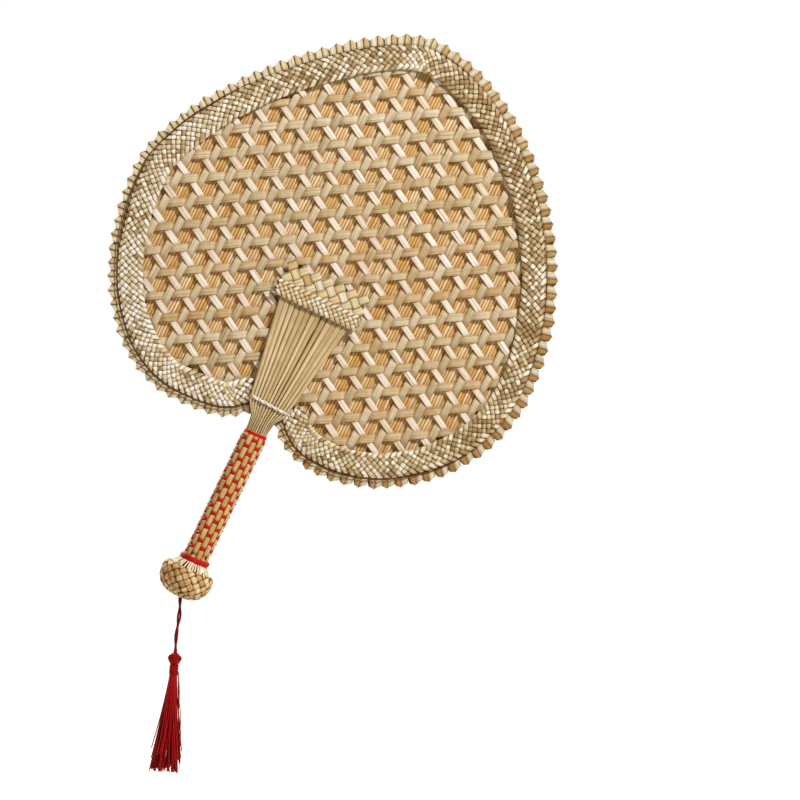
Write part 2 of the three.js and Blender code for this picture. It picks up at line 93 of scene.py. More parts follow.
def addCamera():
    # Looks level along y at the centre, rolled about its own axis.
    view = bpy.data.cameras.new("camera")
    view.lens = studio["lens"]
    view.sensor_width = studio["sensor"]
    camera = addObject("camera", view)
    across, height = studio["centre"]
    camera.location = (across, -studio["distance"], height)
    camera.rotation_euler = (math.pi / 2, -math.radians(pose["rollDegrees"]), 0)
    bpy.context.scene.camera = camera


def addLamp(name, place, size, watts, colour):
    # An area lamp that faces the blade: yaw is its bearing in plan, pitch its height over its distance.
    light = bpy.data.lights.new(name, "AREA")
    light.energy = watts
    light.color = paint(*colour)[:3]
    light.size = size
    lamp = addObject(name, light)
    lamp.location = place
    across, height = studio["centre"]
    away = np.array(place) - (across, 0, height + studio["aimAbove"])
    pitch = math.atan2(away[2], math.hypot(away[0], away[1]))
    lamp.rotation_euler = (math.pi / 2 - pitch, 0, math.atan2(away[0], -away[1]))


class Shade:
    # A socket of a node tree. Sums and products of sockets and numbers add their Math nodes.
    def __init__(self, tree, socket=None):
        self.tree = tree
        self.socket = socket

    def node(self, kind, settings=None, values=None, output=0):
        # Adds a node: its settings first, then the value or link of each socket.
        made = self.tree.nodes.new(kind)
        for key, value in (settings or {}).items():
            if key == "stops":
                ramp = made.color_ramp
                while len(ramp.elements) < len(value):
                    ramp.elements.new(0.5)
                for element, (place, shade) in zip(ramp.elements, value):
                    element.position = place
                    element.color = shade
            else:
                setattr(made, key, value)
        for key, value in (values or {}).items():
            if isinstance(value, Shade):
                self.tree.links.new(value.socket, made.inputs[key])
            else:
                made.inputs[key].default_value = value
        return Shade(self.tree, made.outputs[output])

    def outlet(self, key):
        # Another output of the same node.
        return Shade(self.tree, self.socket.node.outputs[key])

    def math(self, operation, first, second=0.0):
        # One Math node on sockets and numbers.
        return self.node("ShaderNodeMath", {"operation": operation}, {0: first, 1: second})

    def __add__(self, other):
        return self.math("ADD", self, other)

    def __radd__(self, other):
        return self.math("ADD", other, self)

    def __sub__(self, other):
        return self.math("SUBTRACT", self, other)

    def __rsub__(self, other):
        return self.math("SUBTRACT", other, self)

    def __mul__(self, other):
        return self.math("MULTIPLY", self, other)

    def __rmul__(self, other):
        return self.math("MULTIPLY", other, self)

    def __truediv__(self, other):
        return self.math("DIVIDE", self, other)

    def __pow__(self, other):
        return self.math("POWER", self, other)

    def clamped(self):
        # Kept between 0 and 1.
        return self.node("ShaderNodeClamp", None, {"Value": self})

    def mix(self, share, first, second, blend="MIX"):
        # Goes from the first colour to the second by a share.
        settings = {"data_type": "RGBA", "blend_type": blend}
        return self.node("ShaderNodeMix", settings, {0: share, 6: first, 7: second}, 2)

    def stretched(self, scale):
        # This vector with each part times its own scale.
        return self.node("ShaderNodeVectorMath", {"operation": "MULTIPLY"}, {0: self, 1: scale})

    def noise(self, scale, detail=2.0, rough=0.5):
        # Soft noise from 0 to 1 at this place.
        values = {"Vector": self, "Scale": scale, "Detail": detail, "Roughness": rough}
        return self.node("ShaderNodeTexNoise", {"noise_dimensions": "3D"}, values)

    def bumps(self, strength, depth):
        # A normal that follows this height.
        return self.node("ShaderNodeBump", None, {"Strength": strength, "Distance": depth, "Height": self})

    def split(self):
        # The three parts of this vector.
        parts = self.node("ShaderNodeSeparateXYZ", None, {0: self})
        return [parts.outlet(index) for index in range(3)]

    def stored(self):
        # What a mesh holds for its strands: tone, depth under the others, and place across.
        return self.node("ShaderNodeAttribute", {"attribute_name": "strand"}, None, 1).split()

    def unrolled(self):
        # Millimetres round and along a strand.
        return self.node("ShaderNodeUVMap", {"uv_map": "weave"})

    def place(self):
        # Object coordinates in metres.
        return self.node("ShaderNodeTexCoord", None, None, 3)


def paint(red, green, blue):
    # A screen colour from 0 to 255, made linear.
    return tuple((channel / 255) ** 2.2 for channel in (red, green, blue)) + (1.0,)


def newMaterial(name):
    # Gives the material, the start of its shader maths and its surface node.
    material = bpy.data.materials.new(name)
    material.use_nodes = True
    return material, Shade(material.node_tree), material.node_tree.nodes["Principled BSDF"]


def feed(surface, **links):
    # Links shades to the sockets of a node, an underscore for each space in a socket's name.
    for name, value in links.items():
        value.tree.links.new(value.socket, surface.inputs[name.replace("_", " ")])


# What all straws share: how often fine lines and streaks come across and along one, where they start to
# show and how much, their colours, where a groove lies, and how much each of them is felt in the relief.
fibre = {
    "fineAcross": 1.9,
    "fineAlong": 0.03,
    "streakAcross": 0.9,
    "streakAlong": 0.016,
    "blotches": 130.0,
    "blotchShare": 0.5,
    "ridgesFrom": 0.34,
    "ridgeGain": 3.0,
    "veinsFrom": 0.44,
    "veinGain": 6.0,
    "ridgeShare": 0.5,
    "veinShare": 0.55,
    "lineColour": (172, 140, 98),
    "lineStrength": 0.9,
    "grooveShadeColour": (150, 136, 108),
    "grooveShare": 0.6,
    "grooveSharpness": 8.0,
    "grooveOffset": 0.1,
    "grooveWander": 0.5,
    "roughening": 0.16,
    "fineRelief": 0.6,
    "streakRelief": 0.6,
    "grooveRelief": 0.8,
    "bump": 0.5,
    "relief": 0.0003,
    "shine": 0.12,
}


def strawMaterial(
    name, palette, buriedShade, roughness=0.42, fibres=1.0, groove=0.0, shade=0.4, edge=0.3, sharpness=3.0
):
    # Each straw takes its own colour from the palette, and grey-brown fibre lines run along it. Painted shade
    # browns its edges and the stretches that dive under other straws, and a groove can run down its middle.
    material, start, surface = newMaterial(name)
    tone, bury, side = start.stored()
    across = start.unrolled()
    fine = across.stretched((fibre["fineAcross"] * fibres, fibre["fineAlong"], 0)).noise(1.0, 2.0, 0.6)
    streak = across.stretched((fibre["streakAcross"] * fibres, fibre["streakAlong"], 0)).noise(1.0, 1.0)
    blotch = start.place().noise(fibre["blotches"], 3.0)
    share = (tone + (blotch - 0.5) * fibre["blotchShare"]).clamped()
    stops = [(index / (len(palette) - 1), paint(*colour)) for index, colour in enumerate(palette)]
    colour = start.node("ShaderNodeValToRGB", {"stops": stops}, {0: share})
    ridges = ((fine - fibre["ridgesFrom"]) * fibre["ridgeGain"]).clamped()
    veins = ((fibre["veinsFrom"] - streak) * fibre["veinGain"]).clamped()
    lined = ((1 - ridges) * fibre["ridgeShare"] + veins * fibre["veinShare"]).clamped()
    browner = start.mix(fibre["lineStrength"], colour, paint(*fibre["lineColour"]), "MULTIPLY")
    colour = start.mix(lined, colour, browner)
    # Painted shade along the groove, beside its real relief below.
    middle = side.math("ABSOLUTE", side - fibre["grooveOffset"] + (tone - 0.5) * fibre["grooveWander"])
    crease = (1 - middle * fibre["grooveSharpness"]).clamped() * groove
    colour = start.mix(crease * fibre["grooveShare"], colour, paint(*fibre["grooveShadeColour"]))
    # Painted shade: the edges, where straws meet, and the stretches under other straws take the buried shade
    # colour.
    border = side.math("ABSOLUTE", side) ** sharpness
    colour = start.mix((border * edge + bury * bury * shade).clamped(), colour, paint(*buriedShade))
    rough = (roughness + (1 - ridges) * fibre["roughening"]).clamped()
    height = fine * fibre["fineRelief"] + streak * fibre["streakRelief"] - crease * fibre["grooveRelief"]
    relief = height.bumps(fibre["bump"], fibre["relief"])
    feed(surface, Base_Color=colour, Roughness=rough, Normal=relief)
    surface.inputs["Specular IOR Level"].default_value = fibre["shine"]
    return material


# What all threads share: the width and pitch of their ply lines, how often fuzz comes across and along,
# the size of their spots, how much these and the thread's own tone dull its colour, relief and shine.
yarn = {
    "plyWidth": 1.1,
    "plyPitch": 1.6,
    "fuzz": (3.0, 0.6, 0),
    "spots": 220.0,
    "plyShare": 0.45,
    "fuzzShare": 0.5,
    "spotShare": 0.4,
    "toneShare": 0.5,
    "roughening": 0.2,
    "fuzzRelief": 0.5,
    "bump": 0.5,
    "relief": 0.0002,
    "shine": 0.15,
}


def threadMaterial(name, colour, dark, roughness=0.5):
    # Slanted ply lines run round the thread, with a duller colour between them.
    material, start, surface = newMaterial(name)
    tone = start.stored()[0]
    place = start.unrolled()
    around, along = place.split()[:2]
    turn = (around / yarn["plyWidth"] + along / yarn["plyPitch"]) * (2 * math.pi)
    plies = start.math("SINE", turn) * 0.5 + 0.5
    fuzz = place.stretched(yarn["fuzz"]).noise(1.0, 3.0)
    drift = start.place().noise(yarn["spots"], 2.0)
    duller = (1 - plies) * yarn["plyShare"] + (fuzz - 0.5) * yarn["fuzzShare"]
    duller = duller + (drift - 0.5) * yarn["spotShare"] + (tone - 0.5) * yarn["toneShare"]
    shade = start.mix(duller.clamped(), paint(*colour), paint(*dark))
    rough = (roughness + fuzz * yarn["roughening"]).clamped()
    relief = (plies + fuzz * yarn["fuzzRelief"]).bumps(yarn["bump"], yarn["relief"])
    feed(surface, Base_Color=shade, Roughness=rough, Normal=relief)
    surface.inputs["Specular IOR Level"].default_value = yarn["shine"]
    return material


# The stick in the handle: its two colours, how often its grain comes across and along, and its spots.
wood = {
    "pale": (150, 106, 60),
    "dark": (92, 58, 28),
    "grain": (900, 900, 60),
    "contrast": 1.4,
    "darkening": 0.3,
    "spots": 160.0,
    "spotShare": 0.5,
    "roughness": 0.6,
    "roughening": 0.2,
    "bump": 0.4,
    "relief": 0.0002,
}


def woodMaterial(name):
    # Growth lines run along the stick, between a pale and a dark colour, with slow spots over them.
    material, start, surface = newMaterial(name)
    grain = start.place().stretched(wood["grain"]).noise(1.0, 4.0)
    spots = start.place().noise(wood["spots"], 2.0)
    share = (grain * wood["contrast"] - wood["darkening"] + (spots - 0.5) * wood["spotShare"]).clamped()
    shade = start.mix(share, paint(*wood["dark"]), paint(*wood["pale"]))
    rough = wood["roughness"] + grain * wood["roughening"]
    feed(surface, Base_Color=shade, Roughness=rough, Normal=grain.bumps(wood["bump"], wood["relief"]))
    return material


def addSky():
    # The sky lights the fan in its own colour, and is plain white for a ray that shows it.
    sky = bpy.data.worlds.new("sky")
    sky.use_nodes = True
    bpy.context.scene.world = sky
    start = Shade(sky.node_tree)
    rays = start.node("ShaderNodeLightPath")
    kinds = ("Is Camera Ray", "Is Glossy Ray", "Is Transmission Ray")
    camera, glossy, through = (rays.outlet(kind) for kind in kinds)
    seen = (camera + glossy + through).clamped()
    colour = start.mix(seen, paint(*studio["skyColour"]), white)
    strength = studio["skyStrength"] + seen * (1 - studio["skyStrength"])
    feed(sky.node_tree.nodes["Background"], Color=colour, Strength=strength)


def addFloor():
    # A square that takes the fan's shadow. It glows for the camera, more so far from the fan.
    reach, height = studio["floorReach"], studio["floorHeight"]
    corners = [(x * reach, y * reach, height) for x, y in ((-1, -1), (1, -1), (1, 1), (-1, 1))]
    mesh = bpy.data.meshes.new("floor")
    mesh.from_pydata(corners, [], [(0, 1, 2, 3)])
    material, start, surface = newMaterial("paleFloor")
    surface.inputs["Base Color"].default_value = paint(*studio["floorColour"])
    surface.inputs["Roughness"].default_value = studio["floorRoughness"]
    surface.inputs["Emission Strength"].default_value = 1.0
    distance = start.node("ShaderNodeVectorMath", {"operation": "LENGTH"}, {0: start.place()}, 1)
    far = (distance - studio["farFrom"]).clamped()
    seen = start.node("ShaderNodeLightPath").outlet("Is Camera Ray")
    glow = seen * (far * studio["farGlow"] + studio["floorGlow"])
    feed(surface, Emission_Color=start.mix(glow, black, white))
    mesh.materials.append(material)
    addObject("floor", mesh)


def buildStudio():
    # Camera, lamps, sky and floor, and plain colours in the picture.
    addCamera()
    for name, lamp in studio["lamps"].items():
        addLamp(name, **lamp)
    addSky()
    addFloor()
    bpy.context.scene.view_settings.view_transform = "Standard"


# Cross-sections of straws and threads, as closed loops in half widths and half thicknesses.
pillowSection = np.array(
    [(1, 0), (0.66, 0.85), (0, 1.05), (-0.66, 0.85), (-1, 0), (-0.6, -0.9), (0.6, -0.9)]
)
braidSection = np.array(
    [(1, -0.1), (0.84, 0.74), (0, 1), (-0.84, 0.74), (-1, -0.1), (-0.6, -0.9), (0.6, -0.9)]
)
stripSection = np.array([
    (1, -0.5), (0.96, 0.45), (0.78, 0.85), (0, 1), (-0.78, 0.85),
    (-0.96, 0.45), (-1, -0.5), (-0.6, -1), (0.6, -1),
])


def roundSection(sides):
    # A regular polygon on the unit circle.
    turn = np.arange(sides) * 2 * np.pi / sides
    return np.stack((np.cos(turn), np.sin(turn)), -1)


# How meshes are finished: the angles that stay sharp, the steps that set strands and flaps apart on their
# map, and how much the thickness of a strand counts in the way round it.
finish = {
    "strandSharpDegrees": 50,
    "flapSharpDegrees": 35,
    "strandStep": 53.7,
    "flapStep": 31.7,
    "thicknessShare": 0.4,
}


def unit(vectors):
    # Vectors divided by their length.
    return vectors / np.maximum(np.linalg.norm(vectors, axis=-1, keepdims=True), 1e-9)


def lengthAlong(path):
    # The length of a path up to each of its points.
    return np.concatenate(([0], np.cumsum(np.linalg.norm(np.diff(path, axis=0), axis=1))))


def facing(vectors, axis, sign):
    # Turns vectors round where their part along an axis has the other sign.
    return np.where(vectors[:, axis : axis + 1] * sign < 0, -vectors, vectors)


def smooth(value, low, high):
    # 0 below low and 1 above high, with 3s^2 - 2s^3 between them.
    share = np.clip((value - low) / (high - low), 0, 1)
    return share * share * (3 - 2 * share)


def wander(position, strand, size, wave):
    # A slow wobble: two sines whose phases differ for each strand.
    phase = strand * goldenAngle
    slow = np.sin(position * 2 * np.pi / wave + phase * 3.1)
    quick = np.sin(position * 4.3 * np.pi / wave + phase * 7.7)
    return size * (slow + 0.6 * quick) / 1.6


def flattened(level, sharpness):
    # Widens the crests of a wave between -1 and 1: tanh(sharpness * level) / tanh(sharpness).
    return np.tanh(sharpness * level) / math.tanh(sharpness)


def burial(level, middle, swing=0.75):
    # How far a strand lies under the others: middle - swing * level, kept between 0 and 1. The straw
    # materials paint shade by it.
    return np.clip(middle - swing * level, 0, 1)


def joinStrands(parts):
    # Joins strands that are given as tuples of station arrays and single numbers, column by column, and
    # adds the number of the strand as a last column.
    sizes = [len(part[0]) for part in parts]
    columns = []
    for column in zip(*parts):
        full = [np.broadcast_to(value, (size, *np.shape(value)[1:])) for value, size in zip(column, sizes)]
        columns.append(np.concatenate(full))
    return (*columns, np.repeat(np.arange(len(parts)), sizes))


def buildMesh(name, points, loops, sizes, places, stored, sharpDegrees):
    # Faces come as one list of corners and the number of corners in each. Quads are smooth and caps flat.
    # The materials read the map "weave" and the attribute "strand".
    mesh = bpy.data.meshes.new(name)
    mesh.vertices.add(points.size // 3)
    mesh.vertices.foreach_set("co", points.ravel())
    mesh.loops.add(len(loops))
    mesh.loops.foreach_set("vertex_index", loops.astype(np.int32))
    mesh.polygons.add(len(sizes))
    mesh.polygons.foreach_set("loop_start", np.concatenate(([0], np.cumsum(sizes)[:-1])).astype(np.int32))
    mesh.polygons.foreach_set("use_smooth", sizes == 4)
    mesh.update(calc_edges=True)
    mesh.uv_layers.new(name="weave").data.foreach_set("uv", places.astype(np.float32).ravel())
    kept = mesh.attributes.new("strand", "FLOAT_VECTOR", "POINT")
    kept.data.foreach_set("vector", stored.astype(np.float32).ravel())
    mesh.set_sharp_from_angle(angle=math.radians(sharpDegrees))
    mesh.validate()
    return mesh


def sweptMesh(name, centre, side, normal, halfWidth, halfHeight, strand, section, tone, bury):
    # Carries a closed section along many strands at once. Station i belongs to strand[i], and its ring is
    # centre + side * halfWidth * section x + normal * halfHeight * section y. Each strand gets end faces.
    # The map is the way round the section and the length along the strands, in millimetres.
    count, sides = len(centre), len(section)
    points = centre[:, None] + (side * halfWidth[:, None])[:, None] * section[None, :, :1]
    points = points + (normal * halfHeight[:, None])[:, None] * section[None, :, 1:]
    joined = strand[1:] == strand[:-1]
    here = np.nonzero(joined)[0]
    turning = np.sum(np.cross(side[here], normal[here]) * (centre[here + 1] - centre[here]))
    ring = np.arange(sides)
    after = (ring + 1) % sides
    base = here[:, None] * sides
    corners = [base + ring, base + after, base + sides + after, base + sides + ring]
    shift = strand * finish["strandStep"]
    step = np.linalg.norm(np.diff(centre, axis=0), axis=1)
    along = shift + np.concatenate(([0], np.cumsum(np.where(joined, step, 0)))) * 1000
    rim = lengthAlong(np.vstack((section, section[:1])) * (1, finish["thicknessShare"]))
    around = rim * float(np.mean(halfWidth)) * 1000
    left, right = shift[here][:, None] + around[:-1], shift[here][:, None] + around[1:]
    low, high = along[here][:, None] + 0 * ring, along[here + 1][:, None] + 0 * ring
    wide, tall = [left, right, right, left], [low, low, high, high]
    if turning < 0:
        corners, wide, tall = corners[::-1], wide[::-1], tall[::-1]
    quads = np.stack(corners, -1).reshape(-1, 4)
    quadPlaces = np.stack((np.stack(wide, -1), np.stack(tall, -1)), -1).reshape(-1, 2)
    breaks = np.nonzero(~joined)[0]
    starts, ends = np.append(0, breaks + 1), np.append(breaks, count - 1)
    order = ring[::-1] if turning > 0 else ring
    caps = np.concatenate((starts[:, None] * sides + order, ends[:, None] * sides + order[::-1]))
    station = caps.ravel() // sides
    capPlaces = np.stack((around[caps.ravel() % sides] + shift[station], along[station]), -1)
    loops = np.concatenate((quads.ravel(), caps.ravel()))
    sizes = np.repeat((4, sides), (len(quads), len(caps)))
    places = np.concatenate((quadPlaces, capPlaces))
    stored = np.stack(np.broadcast_arrays(tone[:, None], bury[:, None], section[None, :, 0]), -1)
    return buildMesh(name, points, loops, sizes, places, stored, finish["strandSharpDegrees"])


def addPiece(name, mesh, material, nodes=(), body="fan"):
    # A finished piece: its material, the body that it rides on and the solids that it replaces.
    mesh.materials.append(material)
    piece = addObject(name, mesh)
    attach(piece, body)
    if nodes:
        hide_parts(*nodes)
    return piece


def addStraws(
    name, material, slot, nodes, section,
    centre, side, normal, halfWidth, halfHeight, tone, bury=0.0, strand=None,
):
    # Sweeps strands given in upright millimetres and adds them as one piece of the fan. A vector or number
    # can be given once for all stations, and a single strand needs no strand numbers.
    count = len(centre)
    strand = np.zeros(count, int) if strand is None else strand
    given = (halfWidth, halfHeight, tone, bury)
    wide, high, tones, deep = (np.broadcast_to(np.asarray(value, float), (count,)) for value in given)
    side = leaned(np.broadcast_to(side, centre.shape))
    normal = leaned(unit(np.broadcast_to(normal, centre.shape)))
    wide, high = wide / 1000, high / 1000
    mesh = sweptMesh(name, placed(centre), side, normal, wide, high, strand, section, tones, deep)
    addPiece(name, mesh, material, nodes)


# Outline of the blade through the tips of its teeth. The shares set how full each curve is.
outline = {
    "tipHeight": 238,
    "tipOffset": 4,
    "notch": (4, -2.2),
    "notchSlope": 0.25,
    "notchFall": 0.55,
    "right": {
        "flank": (135, 75),
        "lobe": (44, -20.5), "tip": 0.45, "upper": 0.52, "lower": 0.62, "outer": 0.41, "inner": 0.6,
    },
    "left": {
        "flank": (132, 96),
        "lobe": (52, -17.5), "tip": 0.28, "upper": 0.38, "lower": 0.6, "outer": 0.49, "inner": 0.76,
    },
    "curveSteps": 400,
    "rimSteps": 4000,
    "tangentReach": 20,
    "testSteps": 500,
    "strandReach": 320,
    "shortestStrand": 6,
}
# Marks along the rim, as shares of its length from the notch up the right side and back down the left.
rimMarks = [0, 0.06, 0.2, 0.4, 0.5, 0.62, 1]


def halfOutline(side, half):
    # Three cubic curves from the notch round the lobe and the flank to the tip.
    notch, lobe, flank = (np.array(point, float) for point in (outline["notch"], half["lobe"], half["flank"]))
    tip = np.array([-side * outline["tipOffset"], outline["tipHeight"]], float)
    controls = np.array([
        notch,
        notch + (lobe - notch) * (outline["notchSlope"], outline["notchFall"]),
        (lobe[0] - half["inner"] * (lobe[0] - notch[0]), lobe[1]),
        lobe,
        (lobe[0] + half["outer"] * (flank[0] - lobe[0]), lobe[1]),
        (flank[0], flank[1] - half["lower"] * (flank[1] - lobe[1])),
        flank,
        (flank[0], flank[1] + half["upper"] * (tip[1] - flank[1])),
        (tip[0] + half["tip"] * (flank[0] - tip[0]), tip[1]),
        tip,
    ])
    t = np.linspace(0, 1, outline["curveSteps"])[:, None]
    parts = []
    for first in (0, 3, 6):
        a, b, c, d = controls[first : first + 4]
        parts.append(a * (1 - t) ** 3 + 3 * b * t * (1 - t) ** 2 + 3 * c * t * t * (1 - t) + d * t**3)
    return np.concatenate(parts) * (side, 1)


def rimTable():
    # The whole outline at even steps of its own length, with its direction smoothed by a running mean.
    path = np.concatenate((halfOutline(1, outline["right"]), halfOutline(-1, outline["left"])[::-1]))
    path = path[np.concatenate(([True], np.linalg.norm(np.diff(path, axis=0), axis=1) > 1e-6))]
    run = lengthAlong(path)
    even = np.linspace(0, run[-1], outline["rimSteps"])
    points = np.stack([np.interp(even, run, path[:, axis]) for axis in (0, 1)], -1)
    reach = outline["tangentReach"]
    kernel = np.hanning(2 * reach + 1)
    padded = np.pad(unit(np.gradient(points, axis=0)), ((reach, reach), (0, 0)), mode="edge")
    mean = np.stack([np.convolve(padded[:, axis], kernel / kernel.sum(), "valid") for axis in (0, 1)], -1)
    return even, points, unit(mean)


rimRun, rimPoints, rimTangents = rimTable()
rimLength = float(rimRun[-1])


def rimAt(run, inset):
    # Point, direction along and direction inwards at a length along the rim, moved in by the inset.
    x, z, tx, tz = (np.interp(run, rimRun, values) for values in (*rimPoints.T, *rimTangents.T))
    along = unit(np.stack((tx, 0 * tx, tz), -1))
    inward = np.stack((-along[:, 2], 0 * tx, along[:, 0]), -1)
    return np.stack((x, 0 * x, z), -1) + inward * np.broadcast_to(inset, x.shape)[:, None], along, inward


def insideBlade(points, inset):
    # Even-odd test of points in x and z against the outline moved in.
    start = rimAt(np.linspace(0, rimLength, outline["testSteps"]), inset)[0][:, [0, 2]]
    end = np.roll(start, -1, 0)
    x, z = points[:, 0][:, None], points[:, 1][:, None]
    spans = (start[:, 1] > z) != (end[:, 1] > z)
    cross = start[:, 0] + (z - start[:, 1]) * (end[:, 0] - start[:, 0]) / (end[:, 1] - start[:, 1] + 1e-12)
    return np.sum(spans & (x < cross), axis=1) % 2 == 1


def cutStrands(origins, direction, step, inset):
    # Straight strands through the origins, cut off at the outline moved in. Each station has x, z and its
    # place along the strand.
    reach = np.arange(-outline["strandReach"], outline["strandReach"], step)
    parts = []
    for origin in origins:
        line = origin + reach[:, None] * direction
        inside = insideBlade(line, inset).astype(int)
        edges = np.diff(np.concatenate(([0], inside, [0])))
        for first, last in zip(np.nonzero(edges == 1)[0], np.nonzero(edges == -1)[0]):
            if (last - first) * step > outline["shortestStrand"]:
                parts.append((np.column_stack((line[first:last], reach[first:last])),))
    return joinStrands(parts)


# Mat of fine straws side by side behind the weave. Here and below, a wobble is a size and a wave length.
mat = {
    "firstStraw": -72,
    "lastStraw": 74,
    "pitch": 1.8,
    "halfWidth": 0.97,
    "halfThickness": 0.55,
    "middle": 1.0,
    "stagger": 0.12,
    "sideJitter": 0.04,
    "depthJitter": 0.03,
    "wobble": (0.3, 71),
    "likeness": 0.03,
    "inset": 13,
    "centreHeight": 100,
    "step": 4,
    # The rods' edges take strong painted shade, for the shade in the gaps between them.
    "straw": {
        "palette": [(216, 172, 104), (236, 206, 150), (248, 230, 190), (226, 196, 138), (226, 182, 110)],
        "buriedShade": (150, 86, 24), "roughness": 0.5, "fibres": 1.3, "edge": 1.0, "sharpness": 2.4,
    },
}


def backingStraws():
    # Upright rods in a row, every other one a little further back. Neighbours wobble together.
    across = np.arange(mat["firstStraw"], mat["lastStraw"] + 1) * mat["pitch"]
    x = across + rng.normal(0, mat["sideJitter"], len(across))
    origins = np.stack((x, 0 * across + mat["centreHeight"]), -1)
    data, strand = cutStrands(origins, np.array([0, 1.0]), mat["step"], mat["inset"])
    count = strand.max() + 1
    x = data[:, 0] + wander(data[:, 2], strand * mat["likeness"], *mat["wobble"])
    depth = rng.normal(0, mat["depthJitter"], count) + mat["stagger"] * (np.arange(count) % 2 * 2 - 1)
    centre = np.stack((x, mat["middle"] + depth[strand], data[:, 1]), -1)
    tone = rng.uniform(0, 1, count)[strand]
    material = strawMaterial("backingStraw", **mat["straw"])
    addStraws(
        "backingMat", material, "mat_straw", ["backing_mat"], pillowSection,
        centre, (1, 0, 0), (0, -1, 0), mat["halfWidth"], mat["halfThickness"], tone, strand=strand,
    )


# Open weave of flat strips in three directions. The turn fits the lattice to its slightly skewed run.
weave = {
    "pitch": 13.3,
    "rise": 15.6,
    "turn": ((1.0065, 0.0272), (0.0119, 0.9987)),
    "origin": (-3.47, 166.1),
    "stripsEachWay": 26,
    "halfWidths": {"weaveUpright": 2.2, "weaveRising": 2.3, "weaveFalling": 1.85},
    "halfThickness": 0.22,
    "middle": -1.5,
    "swing": 0.56,
    "squareness": 2.3,
    "depthJitter": 0.05,
    "wobble": (0.14, 47),
    "widths": (0.92, 1.06),
    "widthWobble": (0.03, 29),
    "burial": 0.3,
    "inset": 17,
    "stationsPerRise": 18,
    "straws": {
        "weaveUpright": {
            "palette": [(182, 171, 137), (196, 187, 157), (208, 199, 171), (186, 166, 127)],
            "buriedShade": (160, 96, 34), "fibres": 1.3, "groove": 0.1, "shade": 0.5, "edge": 0.4,
        },
        "weaveRising": {
            "palette": [(190, 173, 133), (203, 190, 155), (214, 205, 177), (193, 165, 119)],
            "buriedShade": (160, 96, 34), "roughness": 0.4, "fibres": 1.2,
            "groove": 0.2, "shade": 0.5, "edge": 0.4,
        },
        # The falling strips are paler than the others: partly their own straw, partly a painted sheen of
        # fibres that run across the light's way.
        "weaveFalling": {
            "palette": [(230, 221, 202), (241, 236, 225), (248, 245, 238), (234, 225, 208)],
            "buriedShade": (190, 124, 54), "roughness": 0.34, "groove": 1.0, "shade": 0.45, "edge": 0.5,
        },
    },
}


def weaveStrips(name, first, direction, phase):
    # Parallel strips through first + k * step. Depth follows a flattened cosine: out over one family and
    # in under the other, once each in every step of the lattice.
    turn = np.array(weave["turn"])
    period = float(np.linalg.norm(turn @ np.array(direction, float)))
    heading = unit(turn @ np.array(direction, float))
    step = (weave["pitch"], weave["rise"] / 2) if direction[0] == 0 else (0, weave["rise"])
    index = np.arange(-weave["stripsEachWay"], weave["stripsEachWay"] + 1)[:, None]
    origins = (np.array(first, float) + index * np.array(step)) @ turn.T + np.array(weave["origin"])
    data, strand = cutStrands(origins, heading, period / weave["stationsPerRise"], weave["inset"])
    number = strand.max() + 1
    level = flattened(np.cos(2 * np.pi * data[:, 2] / period + phase), weave["squareness"])
    across = np.array([heading[1], 0, -heading[0]])
    depth = weave["middle"] - weave["swing"] * level + rng.normal(0, weave["depthJitter"], number)[strand]
    shift = wander(data[:, 2], strand, *weave["wobble"])
    centre = np.stack((data[:, 0], depth, data[:, 1]), -1) + across * shift[:, None]
    travel = np.gradient(centre, axis=0)
    bounds = np.nonzero(np.diff(strand))[0]
    travel[bounds], travel[bounds + 1] = travel[bounds - 1], travel[bounds + 2]
    normal = facing(unit(np.cross(unit(travel), across)), 1, -1)
    width = weave["halfWidths"][name] * rng.uniform(*weave["widths"], number)[strand]
    width = width * (1 + wander(data[:, 2], strand + 9, *weave["widthWobble"]))
    tone, bury = rng.uniform(0, 1, number)[strand], burial(level, weave["burial"])
    material = strawMaterial(name + "Straw", **weave["straws"][name])
    addStraws(
        name, material, "strip_straw", ["lattice"], stripSection,
        centre, across, normal, width, weave["halfThickness"], tone, bury, strand,
    )


def openWeave():
    # Over and under are set by the phase at the place where each strip meets the next family.
    run, rise = weave["pitch"], weave["rise"] / 2
    weaveStrips("weaveUpright", (run / 2, -rise / 2), (0, weave["rise"]), 0.0)
    weaveStrips("weaveRising", (0, rise), (run, rise), 0.0)
    weaveStrips("weaveFalling", (0, rise), (run, -rise), math.pi)


# What the flat braids share: stations per crossing, how square the steps are, and how far a fold reaches.
braid = {"perCrossing": 4, "squareness": 1.6, "foldReach": 0.9}


def overUnder(mark, strands):
    # 0 at the two folds, 1 at the even crossings between them and -1 at the odd ones.
    return np.where((mark <= 0) | (mark >= strands), 0.0, np.where(mark % 2 == 0, 1.0, -1.0))


def braidStations(strands, width, runLength, swing):
    # A flat braid of an odd number of straws. Straw k zigzags across as a triangle wave of period
    # 2 * width, shifted by k / strands, and is folded over at each edge. Between the folds it goes over
    # and under in turn. Gives each station's run, offset across, height, side and face vectors
    # (along, across, out), level from -1 to 1, and strand.
    pitch = width / strands / braid["perCrossing"]
    run = np.arange(0, runLength + pitch / 2, pitch)
    parts = []
    for number in range(strands):
        lap = run / width + 2 * number / strands
        leg = np.floor(lap + 1e-9).astype(int)
        share = lap - leg
        heading = np.where(leg % 2 == 0, 1.0, -1.0)
        crossing = np.round(share * strands, 6)
        below, above = np.floor(crossing), np.ceil(crossing)
        blend = (1 - np.cos(np.pi * (crossing - below))) / 2
        level = overUnder(below, strands) * (1 - blend) + overUnder(above, strands) * blend
        fold = np.clip(1 - np.minimum(share, 1 - share) * strands / braid["foldReach"], 0, 1)
        flip = np.pi * (leg + np.where(share > 0.5, 0.5, -0.5) * fold)
        side = np.stack((1 + fold, -heading * (1 - fold), 0 * run), -1) * math.sqrt(0.5)
        face = np.stack((0 * run, np.sin(flip), np.cos(flip)), -1)
        height = swing * flattened(level, braid["squareness"])
        parts.append((run, width * heading * (share - 0.5), height, side, face, level))
    return joinStrands(parts)
